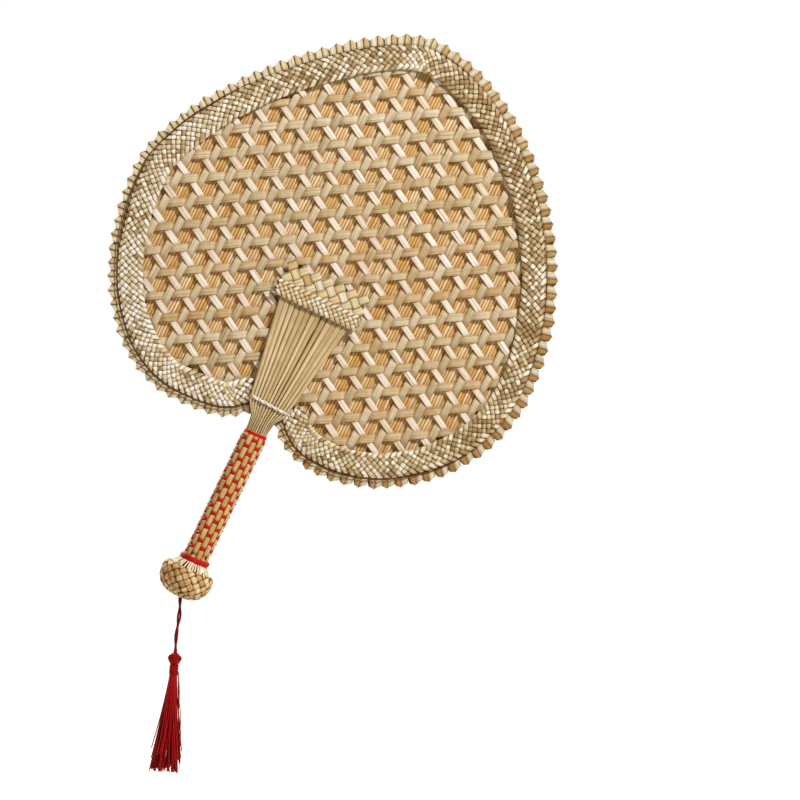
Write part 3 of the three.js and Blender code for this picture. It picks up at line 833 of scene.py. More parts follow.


# Plaits round the edge of the blade, one on each face. The straws are browner at some of the rim's marks,
# most up the right side and over the top.
plait = {
    "strands": 7,
    "outerInset": 7.0,
    "innerInset": 20.6,
    "meanRadius": 118,
    "frontMiddle": -3.65,
    "backMiddle": 3.0,
    "swing": 0.62,
    "halfThickness": 0.4,
    "pinch": 0.1,
    "burial": 0.3,
    "alongWobble": (0.3, 23),
    "driftWobble": (0.25, 170),
    "edgeWobble": (0.25, 17),
    "widthWobble": (0.11, 9),
    "toneSpread": 1.5,
    "baseTone": 0.3,
    "browningTone": 0.6,
    "browning": [0.25, 0.4, 0.72, 0.8, 0.78, 0.35, 0.0],
    "straw": {
        "palette": [
            (255, 252, 244), (249, 243, 224), (238, 228, 199),
            (224, 208, 170), (197, 177, 138), (164, 138, 97),
        ],
        "buriedShade": (74, 44, 16), "roughness": 0.36, "fibres": 1.3, "groove": 0.4, "shade": 0.9, "edge": 0.9,
    },
}


def borderPlait(name, middle, outwards, material, node):
    # The flat braid is laid along the rim: along follows the outline, across runs inwards.
    strands, width = plait["strands"], plait["innerInset"] - plait["outerInset"]
    centreInset = (plait["innerInset"] + plait["outerInset"]) / 2
    stretch = 1 + centreInset / plait["meanRadius"]
    stations = braidStations(strands, width, rimLength / stretch, plait["swing"])
    run, offset, height, side, face, level, strand = stations
    place = np.clip(run * stretch + wander(run, strand + 3, *plait["alongWobble"]), 0, rimLength)
    inset = centreInset + offset + wander(run, 5, *plait["driftWobble"])
    inset = inset + wander(run, strand + 11, *plait["edgeWobble"])
    base, along, inward = rimAt(place, inset)
    out = np.array((0.0, outwards, 0.0))
    centre = base + out * height[:, None] + (0, middle, 0)
    across = along * side[:, :1] + inward * side[:, 1:2]
    normal = inward * face[:, 1:2] + out * face[:, 2:]
    halfWidth = width / strands * math.sqrt(0.5) * (1 - plait["pinch"] * (1 - level))
    halfWidth = halfWidth * (1 + wander(run, strand + 21, *plait["widthWobble"]))
    # Half of a straw's tone changes at each crossing and half at each fold.
    cell = np.floor(run / width * strands + 0.5).astype(int)
    leg = np.floor(run / width + strand * 2 / strands).astype(int)
    tone = 0.5 * rng.uniform(0, 1, (strands, cell.max() + 1))[strand, cell]
    tone = tone + 0.5 * rng.uniform(0, 1, (strands, leg.max() + 1))[strand, leg]
    browning = np.interp(place / rimLength, rimMarks, plait["browning"])
    tone = np.clip((tone - 0.5) * plait["toneSpread"] + plait["baseTone"] + browning * plait["browningTone"], 0, 1)
    addStraws(
        name, material, "plait_straw", [node], braidSection, centre, across, normal,
        halfWidth, plait["halfThickness"], tone, burial(level, plait["burial"]), strand,
    )


# A dark thread between plait and teeth, which stands in for the plait's shadow on the teeth: a painted
# shadow. It is hidden between the straws at some of its marks.
seam = {
    "inset": 5.7,
    "radius": 0.36,
    "above": 0.35,
    "sinks": 2.5,
    "marks": [0, 0.1, 0.2, 0.62, 0.72, 1],
    "hidden": [0, 0, 1, 1, 0, 0],
    "steps": 700,
    "sideWobble": (0.2, 31),
    "depthWobble": (0.12, 7),
    "thread": {"colour": (104, 64, 28), "dark": (58, 34, 14), "roughness": 0.6},
}


def seamShadowThread(name, middle, outwards, material):
    # Follows the rim at its inset and sinks where it is hidden.
    run = np.linspace(0, rimLength, seam["steps"])
    centre, _, inward = rimAt(run, seam["inset"] + wander(run, 0, *seam["sideWobble"]))
    sunk = seam["sinks"] * np.interp(run / rimLength, seam["marks"], seam["hidden"])
    centre[:, 1] = middle + outwards * (seam["above"] - sunk + wander(run, 4, *seam["depthWobble"]))
    addStraws(
        name, material, "plait_straw", (), roundSection(6),
        centre, inward, (0, outwards, 0), seam["radius"], seam["radius"], 0.5,
    )


# Trim between the two plaits, with its row of folded teeth. Rightness is how long and brown the browner
# flap of a tooth is at the rim's marks, and brownShift is how far its top corner moves with that.
# The corners of a flap are (share of the pitch, share of the reach, height): bottom and top, tucked and
# free side.
trim = {
    "teeth": 100,
    "base": 6.4,
    "slip": 0.035,
    "unevenness": 0.025,
    "rightness": [0.5, 0.9, 1, 0.8, 0.45, 0.0, 0.1],
    "flapThickness": 1.2,
    "flapGrid": (5, 4),
    "flapSize": (4, 7),
    "brownFlap": [(-0.12, 0.0, 0.1), (0.52, 0.0, 1.25), (0.0, 0.58, 0.3), (0.42, 1.0, 1.3)],
    "brownShift": (0.07, 0.2),
    "paleFlap": [(0.36, 0.0, 0.1), (1.04, 0.0, 1.25), (0.38, 0.96, 0.3), (0.96, 0.66, 1.3)],
    "brownCrown": 0.2,
    "paleCrown": 0.45,
    "crownFall": 0.6,
    "baseTone": 0.35,
    "browningTone": 0.6,
    "toneJitter": 0.15,
    "paleTones": (0, 0.25),
    "tuckedBurial": 0.9,
    "rootShade": 0.8,
    "rootFade": 3,
    "frontDepth": -1.45,
    "backDepth": 0.85,
    "coreInset": 8.3,
    "coreHalfWidth": 3.4,
    "coreHalfThickness": 1.5,
    "coreSteps": 500,
    "straw": {
        "palette": [(236, 228, 200), (224, 209, 168), (210, 180, 126), (182, 138, 82)],
        "buriedShade": (72, 44, 16), "roughness": 0.4, "shade": 0.8, "edge": 0.7,
    },
}


def patchMesh(name, corners, thickness, tone, crown):
    # Thin closed flaps. Each is a four-sided patch bent along a grid between its corners (bottom left,
    # bottom right, top left, top right), and a copy set behind by the thickness.
    # It bulges by crown * 4u(1 - u) across, less towards the top, and gets painted shade on its tucked side
    # and at its root beside the plait.
    columns, rows = trim["flapGrid"]
    u, v = np.meshgrid(np.linspace(0, 1, columns), np.linspace(0, 1, rows))
    u, v = u.ravel(), v.ravel()
    weights = np.stack(((1 - u) * (1 - v), u * (1 - v), (1 - u) * v, u * v), -1)
    front = np.einsum("gc,fcd->fgd", weights, corners)
    front[:, :, 1] -= np.sign(thickness) * crown[:, None] * (4 * u * (1 - u)) * (1 - trim["crownFall"] * v)
    points = np.concatenate((front, front + (0, thickness, 0)), 1)
    size, count = columns * rows, len(corners)
    grid = np.arange(size).reshape(rows, columns)
    cell = grid[:-1, :-1].ravel()
    top = np.stack((cell, cell + 1, cell + columns + 1, cell + columns), -1)
    border = np.concatenate((grid[0], grid[1:, -1], grid[-1, -2::-1], grid[-2:0:-1, 0]))
    after = np.roll(border, -1)
    walls = np.stack((border, border + size, after + size, after), -1)
    faces = np.concatenate((top, top[:, ::-1] + size, walls))
    if thickness < 0:
        faces = faces[:, ::-1]
    loops = (faces[None] + np.arange(count)[:, None, None] * 2 * size).ravel()
    flat = np.tile(np.stack((u, v), -1) * trim["flapSize"], (2 * count, 1))
    places = flat + np.repeat(np.arange(count) * finish["flapStep"], 2 * size)[:, None]
    # The copy behind counts as middle of the straw, so that its edges get no painted edge shade.
    sideways = np.tile(np.concatenate((u * 2 - 1, u - 0.5)), count)
    # Painted shade: dark on the tucked side of each flap and at its root, fading up the flap.
    rooted = trim["rootShade"] - trim["rootFade"] * v
    deep = np.tile(np.maximum((1 - u) * trim["tuckedBurial"], rooted), 2 * count)
    stored = np.stack((np.repeat(tone, 2 * size), deep, sideways), -1)
    sizes = np.full(len(loops) // 4, 4)
    points = placed(points.reshape(-1, 3))
    return buildMesh(name, points, loops, sizes, places[loops], stored, finish["flapSharpDegrees"])


def teeth(name, depth, outwards, material):
    # Each tooth is two folded flaps, shingled along the rim: a browner one up to the tip and a paler,
    # rounder one down from it. Every flap is tucked under the one before and lies over the one after.
    count = trim["teeth"]
    pitch = rimLength / count
    start = np.arange(count) * pitch
    slip = rng.normal(0, trim["slip"], count)
    reach = trim["base"] * (1 + rng.normal(0, trim["unevenness"], count))
    right = np.interp(start / rimLength, rimMarks, trim["rightness"])
    brown = list(trim["brownFlap"])
    share, out, height = brown[2]
    brown[2] = (share + trim["brownShift"][0] * right, out + trim["brownShift"][1] * right, height)
    corners = []
    for flap in (brown, trim["paleFlap"]):
        ends = []
        for share, out, height in flap:
            place = np.clip(start + (share + slip) * pitch, 0, rimLength)
            end = rimAt(place, trim["base"] - out * reach)[0]
            end[:, 1] = depth + outwards * height
            ends.append(end)
        corners.append(np.stack(ends, 1))
    jitter = rng.uniform(-trim["toneJitter"], trim["toneJitter"], count)
    browner = trim["baseTone"] + trim["browningTone"] * right + jitter
    tone = np.clip(np.concatenate((browner, rng.uniform(*trim["paleTones"], count))), 0, 1)
    crown = np.repeat((trim["brownCrown"], trim["paleCrown"]), count)
    mesh = patchMesh(name, np.concatenate(corners), -outwards * trim["flapThickness"], tone, crown)
    addPiece(name, mesh, material, ["toothed_trim"])


def toothedTrim():
    # A flat core along the rim, hidden under the plaits, with a row of teeth on each face.
    material = strawMaterial("trimStraw", **trim["straw"])
    centre, _, inward = rimAt(np.linspace(0, rimLength, trim["coreSteps"]), trim["coreInset"])
    centre[:, 1] = (trim["frontDepth"] + trim["backDepth"]) / 2
    # The core takes full buried shade, dark brown: painted shade in the gap between the plaits and the teeth.
    addStraws(
        "trimCore", material, "plait_straw", ["toothed_trim"], braidSection,
        centre, inward, (0, -1, 0), trim["coreHalfWidth"], trim["coreHalfThickness"], 0.4, 1.0,
    )
    teeth("trimTeethFront", trim["frontDepth"], -1, material)
    teeth("trimTeethBack", trim["backDepth"], 1, material)


def rimPieces():
    # Plait and dark seam thread on each face, the thread a painted shadow of the plait, and the trim between
    # them.
    plaitStraw = strawMaterial("plaitStraw", **plait["straw"])
    borderPlait("borderPlaitFront", plait["frontMiddle"], -1, plaitStraw, "border_plait_front")
    borderPlait("borderPlaitBack", plait["backMiddle"], 1, plaitStraw, "border_plait_back")
    seamShadowBrown = threadMaterial("seamShadowBrown", **seam["thread"])
    seamShadowThread("seamShadowFront", plait["frontMiddle"], -1, seamShadowBrown)
    seamShadowThread("seamShadowBack", plait["backMiddle"], 1, seamShadowBrown)
    toothedTrim()


# The two faces of the blade: the way out, and how far out the panel and the plaits reach there.
faces = {
    "front": {"side": -1, "panel": 2.3, "plaits": 4.8},
    "back": {"side": 1, "panel": 1.6, "plaits": 4.1},
}
# Root cover: rows of straws that spread from the neck to a plaited band, one on each face.
cover = {
    "straws": 13,
    "halfWidth": 22.5,
    "top": 78,
    "neck": 4.5,
    "neckHalfWidth": 11.2,
    "arcDegrees": 80,
    "flatDrop": 7.5,
    "stepRise": 14.9,
    "stepTop": 45,
    "ringBottom": -14,
    "tuck": -19,
    "tuckDepths": (13, 17),
    "ringRadius": 5.65,
    "tuckRadius": 5.0,
    "neckThickness": 2,
    "topThickness": 1.6,
    "gap": 0.3,
    "thickAt": [-19, 2, 30, 78],
    "halfThicknesses": [0.7, 0.95, 0.85, 0.8],
    "sway": 0.012,
    "swayHeights": (0, 40),
    "depthJitter": 0.12,
    "widths": (0.9, 1.08),
    "widthWobble": (0.03, 33),
    "buriedDepths": (0, 14),
    "burial": 0.4,
    "firstFree": 2,
    "lowerStations": 16,
    "upperStations": 24,
    "straw": {
        "palette": [(190, 168, 121), (209, 190, 146), (221, 204, 166), (196, 171, 124)],
        "buriedShade": (110, 70, 28), "roughness": 0.36, "fibres": 1.3, "shade": 0.5, "edge": 0.6,
    },
}


def rowPoint(word, share, height):
    # Round the core on the handle, flat over the plaits at the neck, then down on to the panel.
    face = faces[word]
    flatness = smooth(height, cover["ringBottom"], cover["neck"]) ** 2
    lift = smooth(height, cover["ringBottom"], cover["neck"] - cover["flatDrop"])
    stepDown = smooth(height, cover["stepRise"], cover["stepTop"])
    onPlait = face["plaits"] + cover["gap"] + cover["neckThickness"] / 2
    onPanel = face["panel"] + cover["gap"] + cover["topThickness"] / 2
    bend = share * math.radians(cover["arcDegrees"])
    grown = np.clip((height - cover["neck"]) / (cover["top"] - cover["neck"]), 0, None)
    wide = cover["neckHalfWidth"] + (cover["halfWidth"] - cover["neckHalfWidth"]) * grown
    tucked = smooth(-height, *cover["tuckDepths"])
    ring = cover["ringRadius"] + (cover["tuckRadius"] - cover["ringRadius"]) * tucked
    x = ring * np.sin(bend) * (1 - flatness) + share * wide * flatness
    y = ring * np.cos(bend) * (1 - lift) + (onPlait + (onPanel - onPlait) * stepDown) * lift
    return np.stack((x, face["side"] * y, height + 0 * x), -1)


def rootCover(word, material):
    # Straw k lies at the share 2k / (n - 1) - 1 of the row and is as wide as the room up to its neighbours.
    side, count = faces[word]["side"], cover["straws"]
    lower = np.linspace(cover["tuck"], 0, cover["lowerStations"])
    height = np.concatenate((lower, np.linspace(cover["firstFree"], cover["top"], cover["upperStations"])))
    slack = rng.normal(0, cover["sway"], count)
    for number in range(count):
        sway = 2 * number / (count - 1) - 1 + slack[number] * smooth(height, *cover["swayHeights"])
        centre = rowPoint(word, sway, height)
        ahead = rowPoint(word, sway + 1 / count, height) - rowPoint(word, sway - 1 / count, height)
        room = np.linalg.norm(ahead, axis=1) * count / (count - 1)
        across = unit(ahead)
        out = facing(np.stack((across[:, 1], -across[:, 0], 0 * height), -1), 1, side)
        wide = room / 2 * rng.uniform(*cover["widths"]) * (1 + wander(height, number, *cover["widthWobble"]))
        thick = np.interp(height, cover["thickAt"], cover["halfThicknesses"])
        # The part below the neck gets painted shade, more towards the binding.
        tone, deep = rng.uniform(0, 1), smooth(-height, *cover["buriedDepths"]) * cover["burial"]
        centre[:, 1] += side * rng.normal(0, cover["depthJitter"])
        label = f"{number + 1:02d}"
        addStraws(
            "coverStraw" + word.title() + label, material, "cover_straw", [f"cover_straw_{word}_{label}"],
            pillowSection, centre, across, out, wide, thick, tone, deep,
        )


# Plaited band over the tops of the cover straws: a stepped weave above, a flat braid along its lower edge.
band = {
    "halfWidth": 26,
    "above": 0.8,
    "cell": 5.4,
    "cellHalfWidth": 2.55,
    "cellHalfThickness": 0.26,
    "weaveBase": 71.6,
    "rowsUp": 2,
    "rowsDown": 3,
    "secondShort": 0.62,
    "strawsEachWay": 12,
    "margin": (1, 2),
    "shortestStations": 8,
    "stationStep": 0.125,
    "swing": 0.36,
    "squareness": 1.8,
    "burial": 0.2,
    "edgeStrands": 5,
    "edgeBottom": 64.6,
    "edgeTop": 73.2,
    "edgeAbove": 0.9,
    "edgeSwing": 0.5,
    "edgeHalfThickness": 0.34,
    "edgeFullness": 0.96,
    "edgeBurial": 0.45,
    "straw": {
        "palette": [(248, 242, 226), (236, 226, 196), (222, 210, 168), (230, 206, 160), (206, 176, 122)],
        "buriedShade": (72, 40, 12), "roughness": 0.38, "fibres": 1.3, "groove": 0.4, "shade": 0.95, "edge": 0.9,
    },
}


def bandEdge(word, ahead, material):
    # A flat braid laid level across the cover straws: along is x, across is z.
    side, strands = faces[word]["side"], band["edgeStrands"]
    width, middle = band["edgeTop"] - band["edgeBottom"], (band["edgeTop"] + band["edgeBottom"]) / 2
    stations = braidStations(strands, width, 2 * band["halfWidth"], band["edgeSwing"])
    run, offset, height, sideway, face, level, strand = stations
    centre = np.stack((run - band["halfWidth"], side * (ahead + height), middle + offset), -1)
    across = np.stack((sideway[:, 0], 0 * run, sideway[:, 1]), -1)
    normal = np.stack((0 * run, side * face[:, 2], face[:, 1]), -1)
    wide = width / strands * math.sqrt(0.5) * band["edgeFullness"]
    leg = np.floor(run / width + strand * 2 / strands).astype(int)
    tone = rng.uniform(0, 1, (strands, leg.max() + 2))[strand, leg]
    bury = burial(level, band["edgeBurial"])
    addStraws(
        "bandEdge" + word.title(), material, "plait_straw", ["cover_band_" + word], braidSection,
        centre, across, normal, wide, band["edgeHalfThickness"], tone, bury, strand,
    )


def bandWeave(word, ahead, material):
    # Two families of straws at 45 degrees to the band. Cell (j, k) lies at (j + 1/2, k + 1/2) cells along
    # (1, 1) and (-1, 1), and the first family is on top where j + k is even. Its square ends stand in
    # steps along the upper edge, and the second family stops under them.
    side, reach = faces[word]["side"], band["strawsEachWay"]
    diagonal = band["cell"] * math.sqrt(0.5)
    parts = []
    for family in (0, 1):
        for number in range(-reach, reach + 1):
            top = band["rowsUp"] - number + (1 if family == 0 else band["secondShort"])
            step = np.arange(-number - band["rowsDown"], top + 0.01, band["stationStep"])
            step[-1] = top
            fixed = 0 * step + number + 0.5
            a, b = (step, fixed) if family == 0 else (fixed, step)
            x, z = (a - b) * diagonal, band["weaveBase"] + (a + b) * diagonal
            inside = np.abs(x) < band["halfWidth"] - band["margin"][0]
            inside = inside & (z > band["edgeBottom"] + band["margin"][1])
            if np.count_nonzero(inside) < band["shortestStations"]:
                continue
            sign = 1 if (number % 2 == 0) == (family == 0) else -1
            level = sign * np.cos(np.pi * (step - 0.5))
            lift = band["swing"] * flattened(level, band["squareness"])
            centre = np.stack((x, side * (ahead + lift), z), -1)[inside]
            across = np.array([1, 0, -1] if family == 0 else [1, 0, 1]) * math.sqrt(0.5) + 0 * centre
            out = facing(unit(np.cross(unit(np.gradient(centre, axis=0)), across)), 1, side)
            wide, high = band["cellHalfWidth"], band["cellHalfThickness"]
            bury = burial(level[inside], band["burial"])
            parts.append((centre, across, out, wide, high, rng.uniform(), bury))
    name, nodes = "bandWeave" + word.title(), ["cover_band_" + word]
    addStraws(name, material, "plait_straw", nodes, stripSection, *joinStrands(parts))


def coverBand(word, material):
    # The weave lies on the cover straws and the edge braid on the weave.
    ahead = faces[word]["panel"] + cover["topThickness"] + 2 * cover["gap"] + band["above"]
    bandWeave(word, ahead, material)
    bandEdge(word, ahead + band["edgeAbove"], material)


# White thread round the neck.
neckTie = {
    "overhang": 1,
    "sinks": 1.0,
    "above": 0.75,
    "rampOut": 1,
    "rampIn": 2.2,
    "slant": 0.5,
    "plyOffset": 0.45,
    "plyRadius": 0.58,
    "pitch": 8.0,
    "stations": 90,
    "thread": {"colour": (232, 224, 214), "dark": (168, 156, 146), "roughness": 0.6},
}


def twisted(points, side, normal, offset, pitch, plies=2):
    # Plies wound round a path: each runs at the offset from it and turns once in every pitch.
    run = lengthAlong(points)
    offset = np.broadcast_to(offset, run.shape)[:, None]
    parts = []
    for ply in range(plies):
        turn = (2 * np.pi * run / pitch + ply * 2 * np.pi / plies)[:, None]
        reach = side * np.cos(turn) + normal * np.sin(turn)
        parts.append((points + reach * offset, reach, normal * np.cos(turn) - side * np.sin(turn)))
    return joinStrands(parts)


def neckThread(word, material):
    # A two-ply thread that lies across the straws and dives through the blade at both sides of them.
    face = faces[word]
    near = face["plaits"] - neckTie["sinks"]
    over = face["plaits"] + cover["gap"] + cover["neckThickness"] + neckTie["above"]
    span = cover["neckHalfWidth"] + neckTie["overhang"]
    x = np.linspace(-span - neckTie["rampOut"], span + neckTie["rampOut"], neckTie["stations"])
    depth = near + (over - near) * smooth(-np.abs(x), -span - neckTie["rampOut"], -span + neckTie["rampIn"])
    points = np.stack((x, face["side"] * depth, cover["neck"] - x / span * neckTie["slant"]), -1)
    up = np.broadcast_to((0, 0, 1.0), points.shape)
    out = unit(np.cross(unit(np.gradient(points, axis=0)), up))
    centre, sides, normals, strand = twisted(points, up, out, neckTie["plyOffset"], neckTie["pitch"])
    addStraws(
        "neckThread" + word.title(), material, "white_thread", ["neck_thread_" + word], roundSection(8),
        centre, sides, normals, neckTie["plyRadius"], neckTie["plyRadius"], 0.5, strand=strand,
    )


# Handle: straw columns round the core with one red thread woven through them, a binding above them and
# a ring below. The depths are measured down from the neck.
grip = {
    "staves": 13,
    "top": -13.4,
    "bottom": -97.4,
    "stations": 170,
    "floatRadius": 7.0,
    "dipRadius": 5.95,
    "dipReach": 1.15,
    "dipDepths": (14.2, 16.2),
    "dipEndHeights": (-94.5, -92.5),
    "topTuck": 1.1,
    "topTuckHeights": (-17.5, -13.4),
    "bottomTuck": 0.7,
    "bottomTuckDepths": (93.5, 96.5),
    "halfThickness": 0.55,
    "halfWidth": 1.62,
    "widths": (0.95, 1.02),
    "dipPinch": 0.1,
    "dipBurial": 0.9,
    "weftTop": -15.9,
    "weftPitch": 4.35,
    "weftTurns": 17,
    "weftOver": 7.02,
    "weftUnder": 5.75,
    "weftRadius": 0.88,
    "weftFlatness": 0.9,
    "weftSquareness": 2.2,
    "weftPerStave": 6,
    "coilPerTurn": 40,
    "neckBinding": {"radius": 6.5, "top": -13.6, "bottom": -16.0, "turns": 2.5, "thread": 0.6},
    "redRing": {"radius": 8.1, "top": -94.2, "bottom": -96.2, "turns": 2.0, "thread": 0.98},
    "straw": {
        "palette": [(204, 160, 96), (227, 191, 134), (237, 210, 162), (208, 168, 108)],
        "buriedShade": (120, 58, 18), "fibres": 1.2, "shade": 0.8, "edge": 0.7,
    },
    "thread": {"colour": (192, 22, 20), "dark": (112, 8, 8), "roughness": 0.42},
}


def ringPoint(radius, turn, height):
    # Angle 0 looks to the back and grows towards the right. Radius 1 at height 0 gives the way outwards.
    return np.stack((radius * np.sin(turn), radius * np.cos(turn), height + 0 * turn), -1)


def handleStraws(material):
    # Each straw floats at one radius and dips by a bell curve wherever the thread passes over it.
    height = np.linspace(grip["top"], grip["bottom"], grip["stations"])
    for number in range(grip["staves"]):
        turn = 2 * np.pi * number / grip["staves"] + 0 * height
        lap = (grip["weftTop"] - height) / grip["weftPitch"] - number / grip["staves"]
        toOver = np.abs((lap + number + 1) % 2 - 1) * grip["weftPitch"]
        woven = smooth(-height, *grip["dipDepths"]) * smooth(height, *grip["dipEndHeights"])
        dip = np.exp(-((toOver / grip["dipReach"]) ** 2)) * woven
        radius = grip["floatRadius"] - (grip["floatRadius"] - grip["dipRadius"]) * dip
        radius = radius - grip["topTuck"] * smooth(height, *grip["topTuckHeights"])
        radius = radius - grip["bottomTuck"] * smooth(-height, *grip["bottomTuckDepths"])
        centre, out = ringPoint(radius, turn, height), ringPoint(1, turn, 0)
        across = ringPoint(1, turn + np.pi / 2, 0)
        # The dips under the red thread get painted shade.
        wide = grip["halfWidth"] * (1 - grip["dipPinch"] * dip) * rng.uniform(*grip["widths"])
        label = f"{number + 1:02d}"
        addStraws(
            "handleStraw" + label, material, "handle_straw", ["handle_stave_" + label], pillowSection,
            centre, across, out, wide, grip["halfThickness"], rng.uniform(0, 1), dip * grip["dipBurial"],
        )


def woundThread(name, radius, turn, height, halfWidth, halfHeight, sides, tone, material, nodes):
    # A thread round the handle's axis, at a radius and height for each angle.
    centre, out = ringPoint(radius, turn, height), ringPoint(1, turn, 0)
    addStraws(
        name, material, "red_thread", nodes, roundSection(sides),
        centre, (0, 0, 1), out, halfWidth, halfHeight, tone,
    )


def redWeft(material):
    # One helix whose radius swings out over one straw and in under the next.
    place = np.arange(grip["staves"] * grip["weftTurns"] * grip["weftPerStave"] + 1) / grip["weftPerStave"]
    swing = (1 + flattened(np.cos(np.pi * place), grip["weftSquareness"])) / 2
    radius = grip["weftUnder"] + (grip["weftOver"] - grip["weftUnder"]) * swing
    height = grip["weftTop"] - place * grip["weftPitch"] / grip["staves"]
    turn, wide = 2 * np.pi * place / grip["staves"], grip["weftRadius"]
    high = wide * grip["weftFlatness"]
    woundThread("redWeft", radius, turn, height, wide, high, 7, 0.5, material, ["red_weft"])


def coil(name, material, nodes=()):
    # A thread wound round the handle's axis from one height to another.
    ring = grip[name]
    turn = np.linspace(0, 2 * np.pi * ring["turns"], int(grip["coilPerTurn"] * ring["turns"]) + 1)
    height = ring["top"] + (ring["bottom"] - ring["top"]) * turn / turn[-1]
    wide = ring["thread"]
    woundThread(name, ring["radius"], turn, height, wide, wide, 9, 0.4, material, nodes)


# Pommel: slivers under the red ring and a plaited bun.
pommel = {
    "strands": 17,
    "rows": 11,
    "perRow": 6,
    "cornerCuts": 3,
    "swing": 0.52,
    "squareness": 1.6,
    "halfThickness": 0.38,
    "leastHalfWidth": 0.5,
    "fullness": 0.9,
    "pinch": 0.12,
    "slip": 0.12,
    "widthWobble": (0.12, 9),
    "burial": 0.45,
    "profile": [
        (11.2, -103.6), (11.7, -102.2), (12.8, -101.5), (14.2, -102.2), (14.9, -104.0), (15.1, -106.2),
        (14.9, -108.8), (14.0, -111.6), (12.0, -114.4), (9.2, -116.4), (5.8, -117.5), (2.9, -117.7),
    ],
    "straw": {
        "palette": [(190, 148, 92), (220, 182, 126), (246, 220, 174), (204, 164, 106)],
        "buriedShade": (74, 38, 8), "roughness": 0.4, "fibres": 1.2, "shade": 0.75, "edge": 0.7,
    },
}
slivers = {
    "count": 44,
    "stations": 7,
    "innerRadius": 7.6,
    "reach": 4.8,
    "bulge": 0.5,
    "top": -96.4,
    "drop": 6.2,
    "halfThickness": 0.2,
    "halfWidths": (0.36, 0.52),
    "widening": 0.35,
    "steepening": 1.15,
    "placeJitter": 0.25,
    "slantJitter": 0.05,
    "heightJitter": 0.15,
    "straw": {"palette": [(236, 222, 186), (250, 240, 214), (226, 204, 158)], "buriedShade": (150, 96, 48)},
}


def rounded(profile, times):
    # Cuts the corners of a line at a quarter and three quarters of each side, several times over.
    for _ in range(times):
        cut = np.empty((2 * len(profile) - 2, 2))
        cut[0::2] = profile[:-1] * 0.75 + profile[1:] * 0.25
        cut[1::2] = profile[:-1] * 0.25 + profile[1:] * 0.75
        profile = np.vstack((profile[:1], cut, profile[-1:]))
    return profile


def pommelBun(material):
    # Straws wind both ways round a rounded profile and cross over and under in turn.
    profile = rounded(np.array(pommel["profile"]), pommel["cornerCuts"])
    length = lengthAlong(profile)
    slope = unit(np.gradient(profile, axis=0))
    rows, strands = pommel["rows"], pommel["strands"]
    row = np.arange(rows * pommel["perRow"] + 1) / pommel["perRow"]
    at = row / rows * length[-1]
    radius, height = (np.interp(at, length, profile[:, axis]) for axis in (0, 1))
    outSlope, upSlope = (np.interp(at, length, slope[:, axis]) for axis in (0, 1))
    parts = []
    for way in (1, -1):
        level = way * np.cos(np.pi * row)
        lift = pommel["swing"] * flattened(level, pommel["squareness"])
        wide = np.pi * radius / strands * math.sqrt(0.5) * pommel["fullness"]
        wide = wide * (1 - pommel["pinch"] * (1 - level))
        high, bury = pommel["halfThickness"], burial(level, pommel["burial"])
        for number in range(strands):
            turn = (2 * number + way * row + rng.normal(0, pommel["slip"])) * np.pi / strands
            path, out = ringPoint(radius, turn, height), ringPoint(-upSlope, turn, outSlope)
            across = unit(np.cross(out, unit(np.gradient(path, axis=0))))
            uneven = wide * (1 + wander(at, len(parts), *pommel["widthWobble"]))
            uneven = np.maximum(uneven, pommel["leastHalfWidth"])
            parts.append((path + out * lift[:, None], across, out, uneven, high, rng.uniform(), bury))
    addStraws("pommelBun", material, "plait_straw", ["pommel_plait"], braidSection, *joinStrands(parts))


def pommelSlivers(material):
    # Thin slivers that fan out from under the red ring on to the bun.
    share = np.linspace(0, 1, slivers["stations"])
    radius = slivers["innerRadius"] + slivers["reach"] * share + slivers["bulge"] * np.sin(np.pi * share)
    parts = []
    for number in range(slivers["count"]):
        place = number + rng.uniform(-slivers["placeJitter"], slivers["placeJitter"])
        slant = rng.uniform(-slivers["slantJitter"], slivers["slantJitter"]) * share
        turn = 2 * np.pi * place / slivers["count"] + slant
        height = slivers["top"] - slivers["drop"] * share ** slivers["steepening"]
        height = height + rng.uniform(-slivers["heightJitter"], slivers["heightJitter"])
        centre, across = ringPoint(radius, turn, height), ringPoint(1, turn + np.pi / 2, 0)
        out = facing(unit(np.cross(unit(np.gradient(centre, axis=0)), across)), 2, 1)
        wide = rng.uniform(*slivers["halfWidths"]) * (1 + slivers["widening"] * share)
        parts.append((centre, across, out, wide, slivers["halfThickness"], rng.uniform(), 0.0))
    nodes = ["pommel_collar"]
    addStraws("pommelSlivers", material, "handle_straw", nodes, braidSection, *joinStrands(parts))


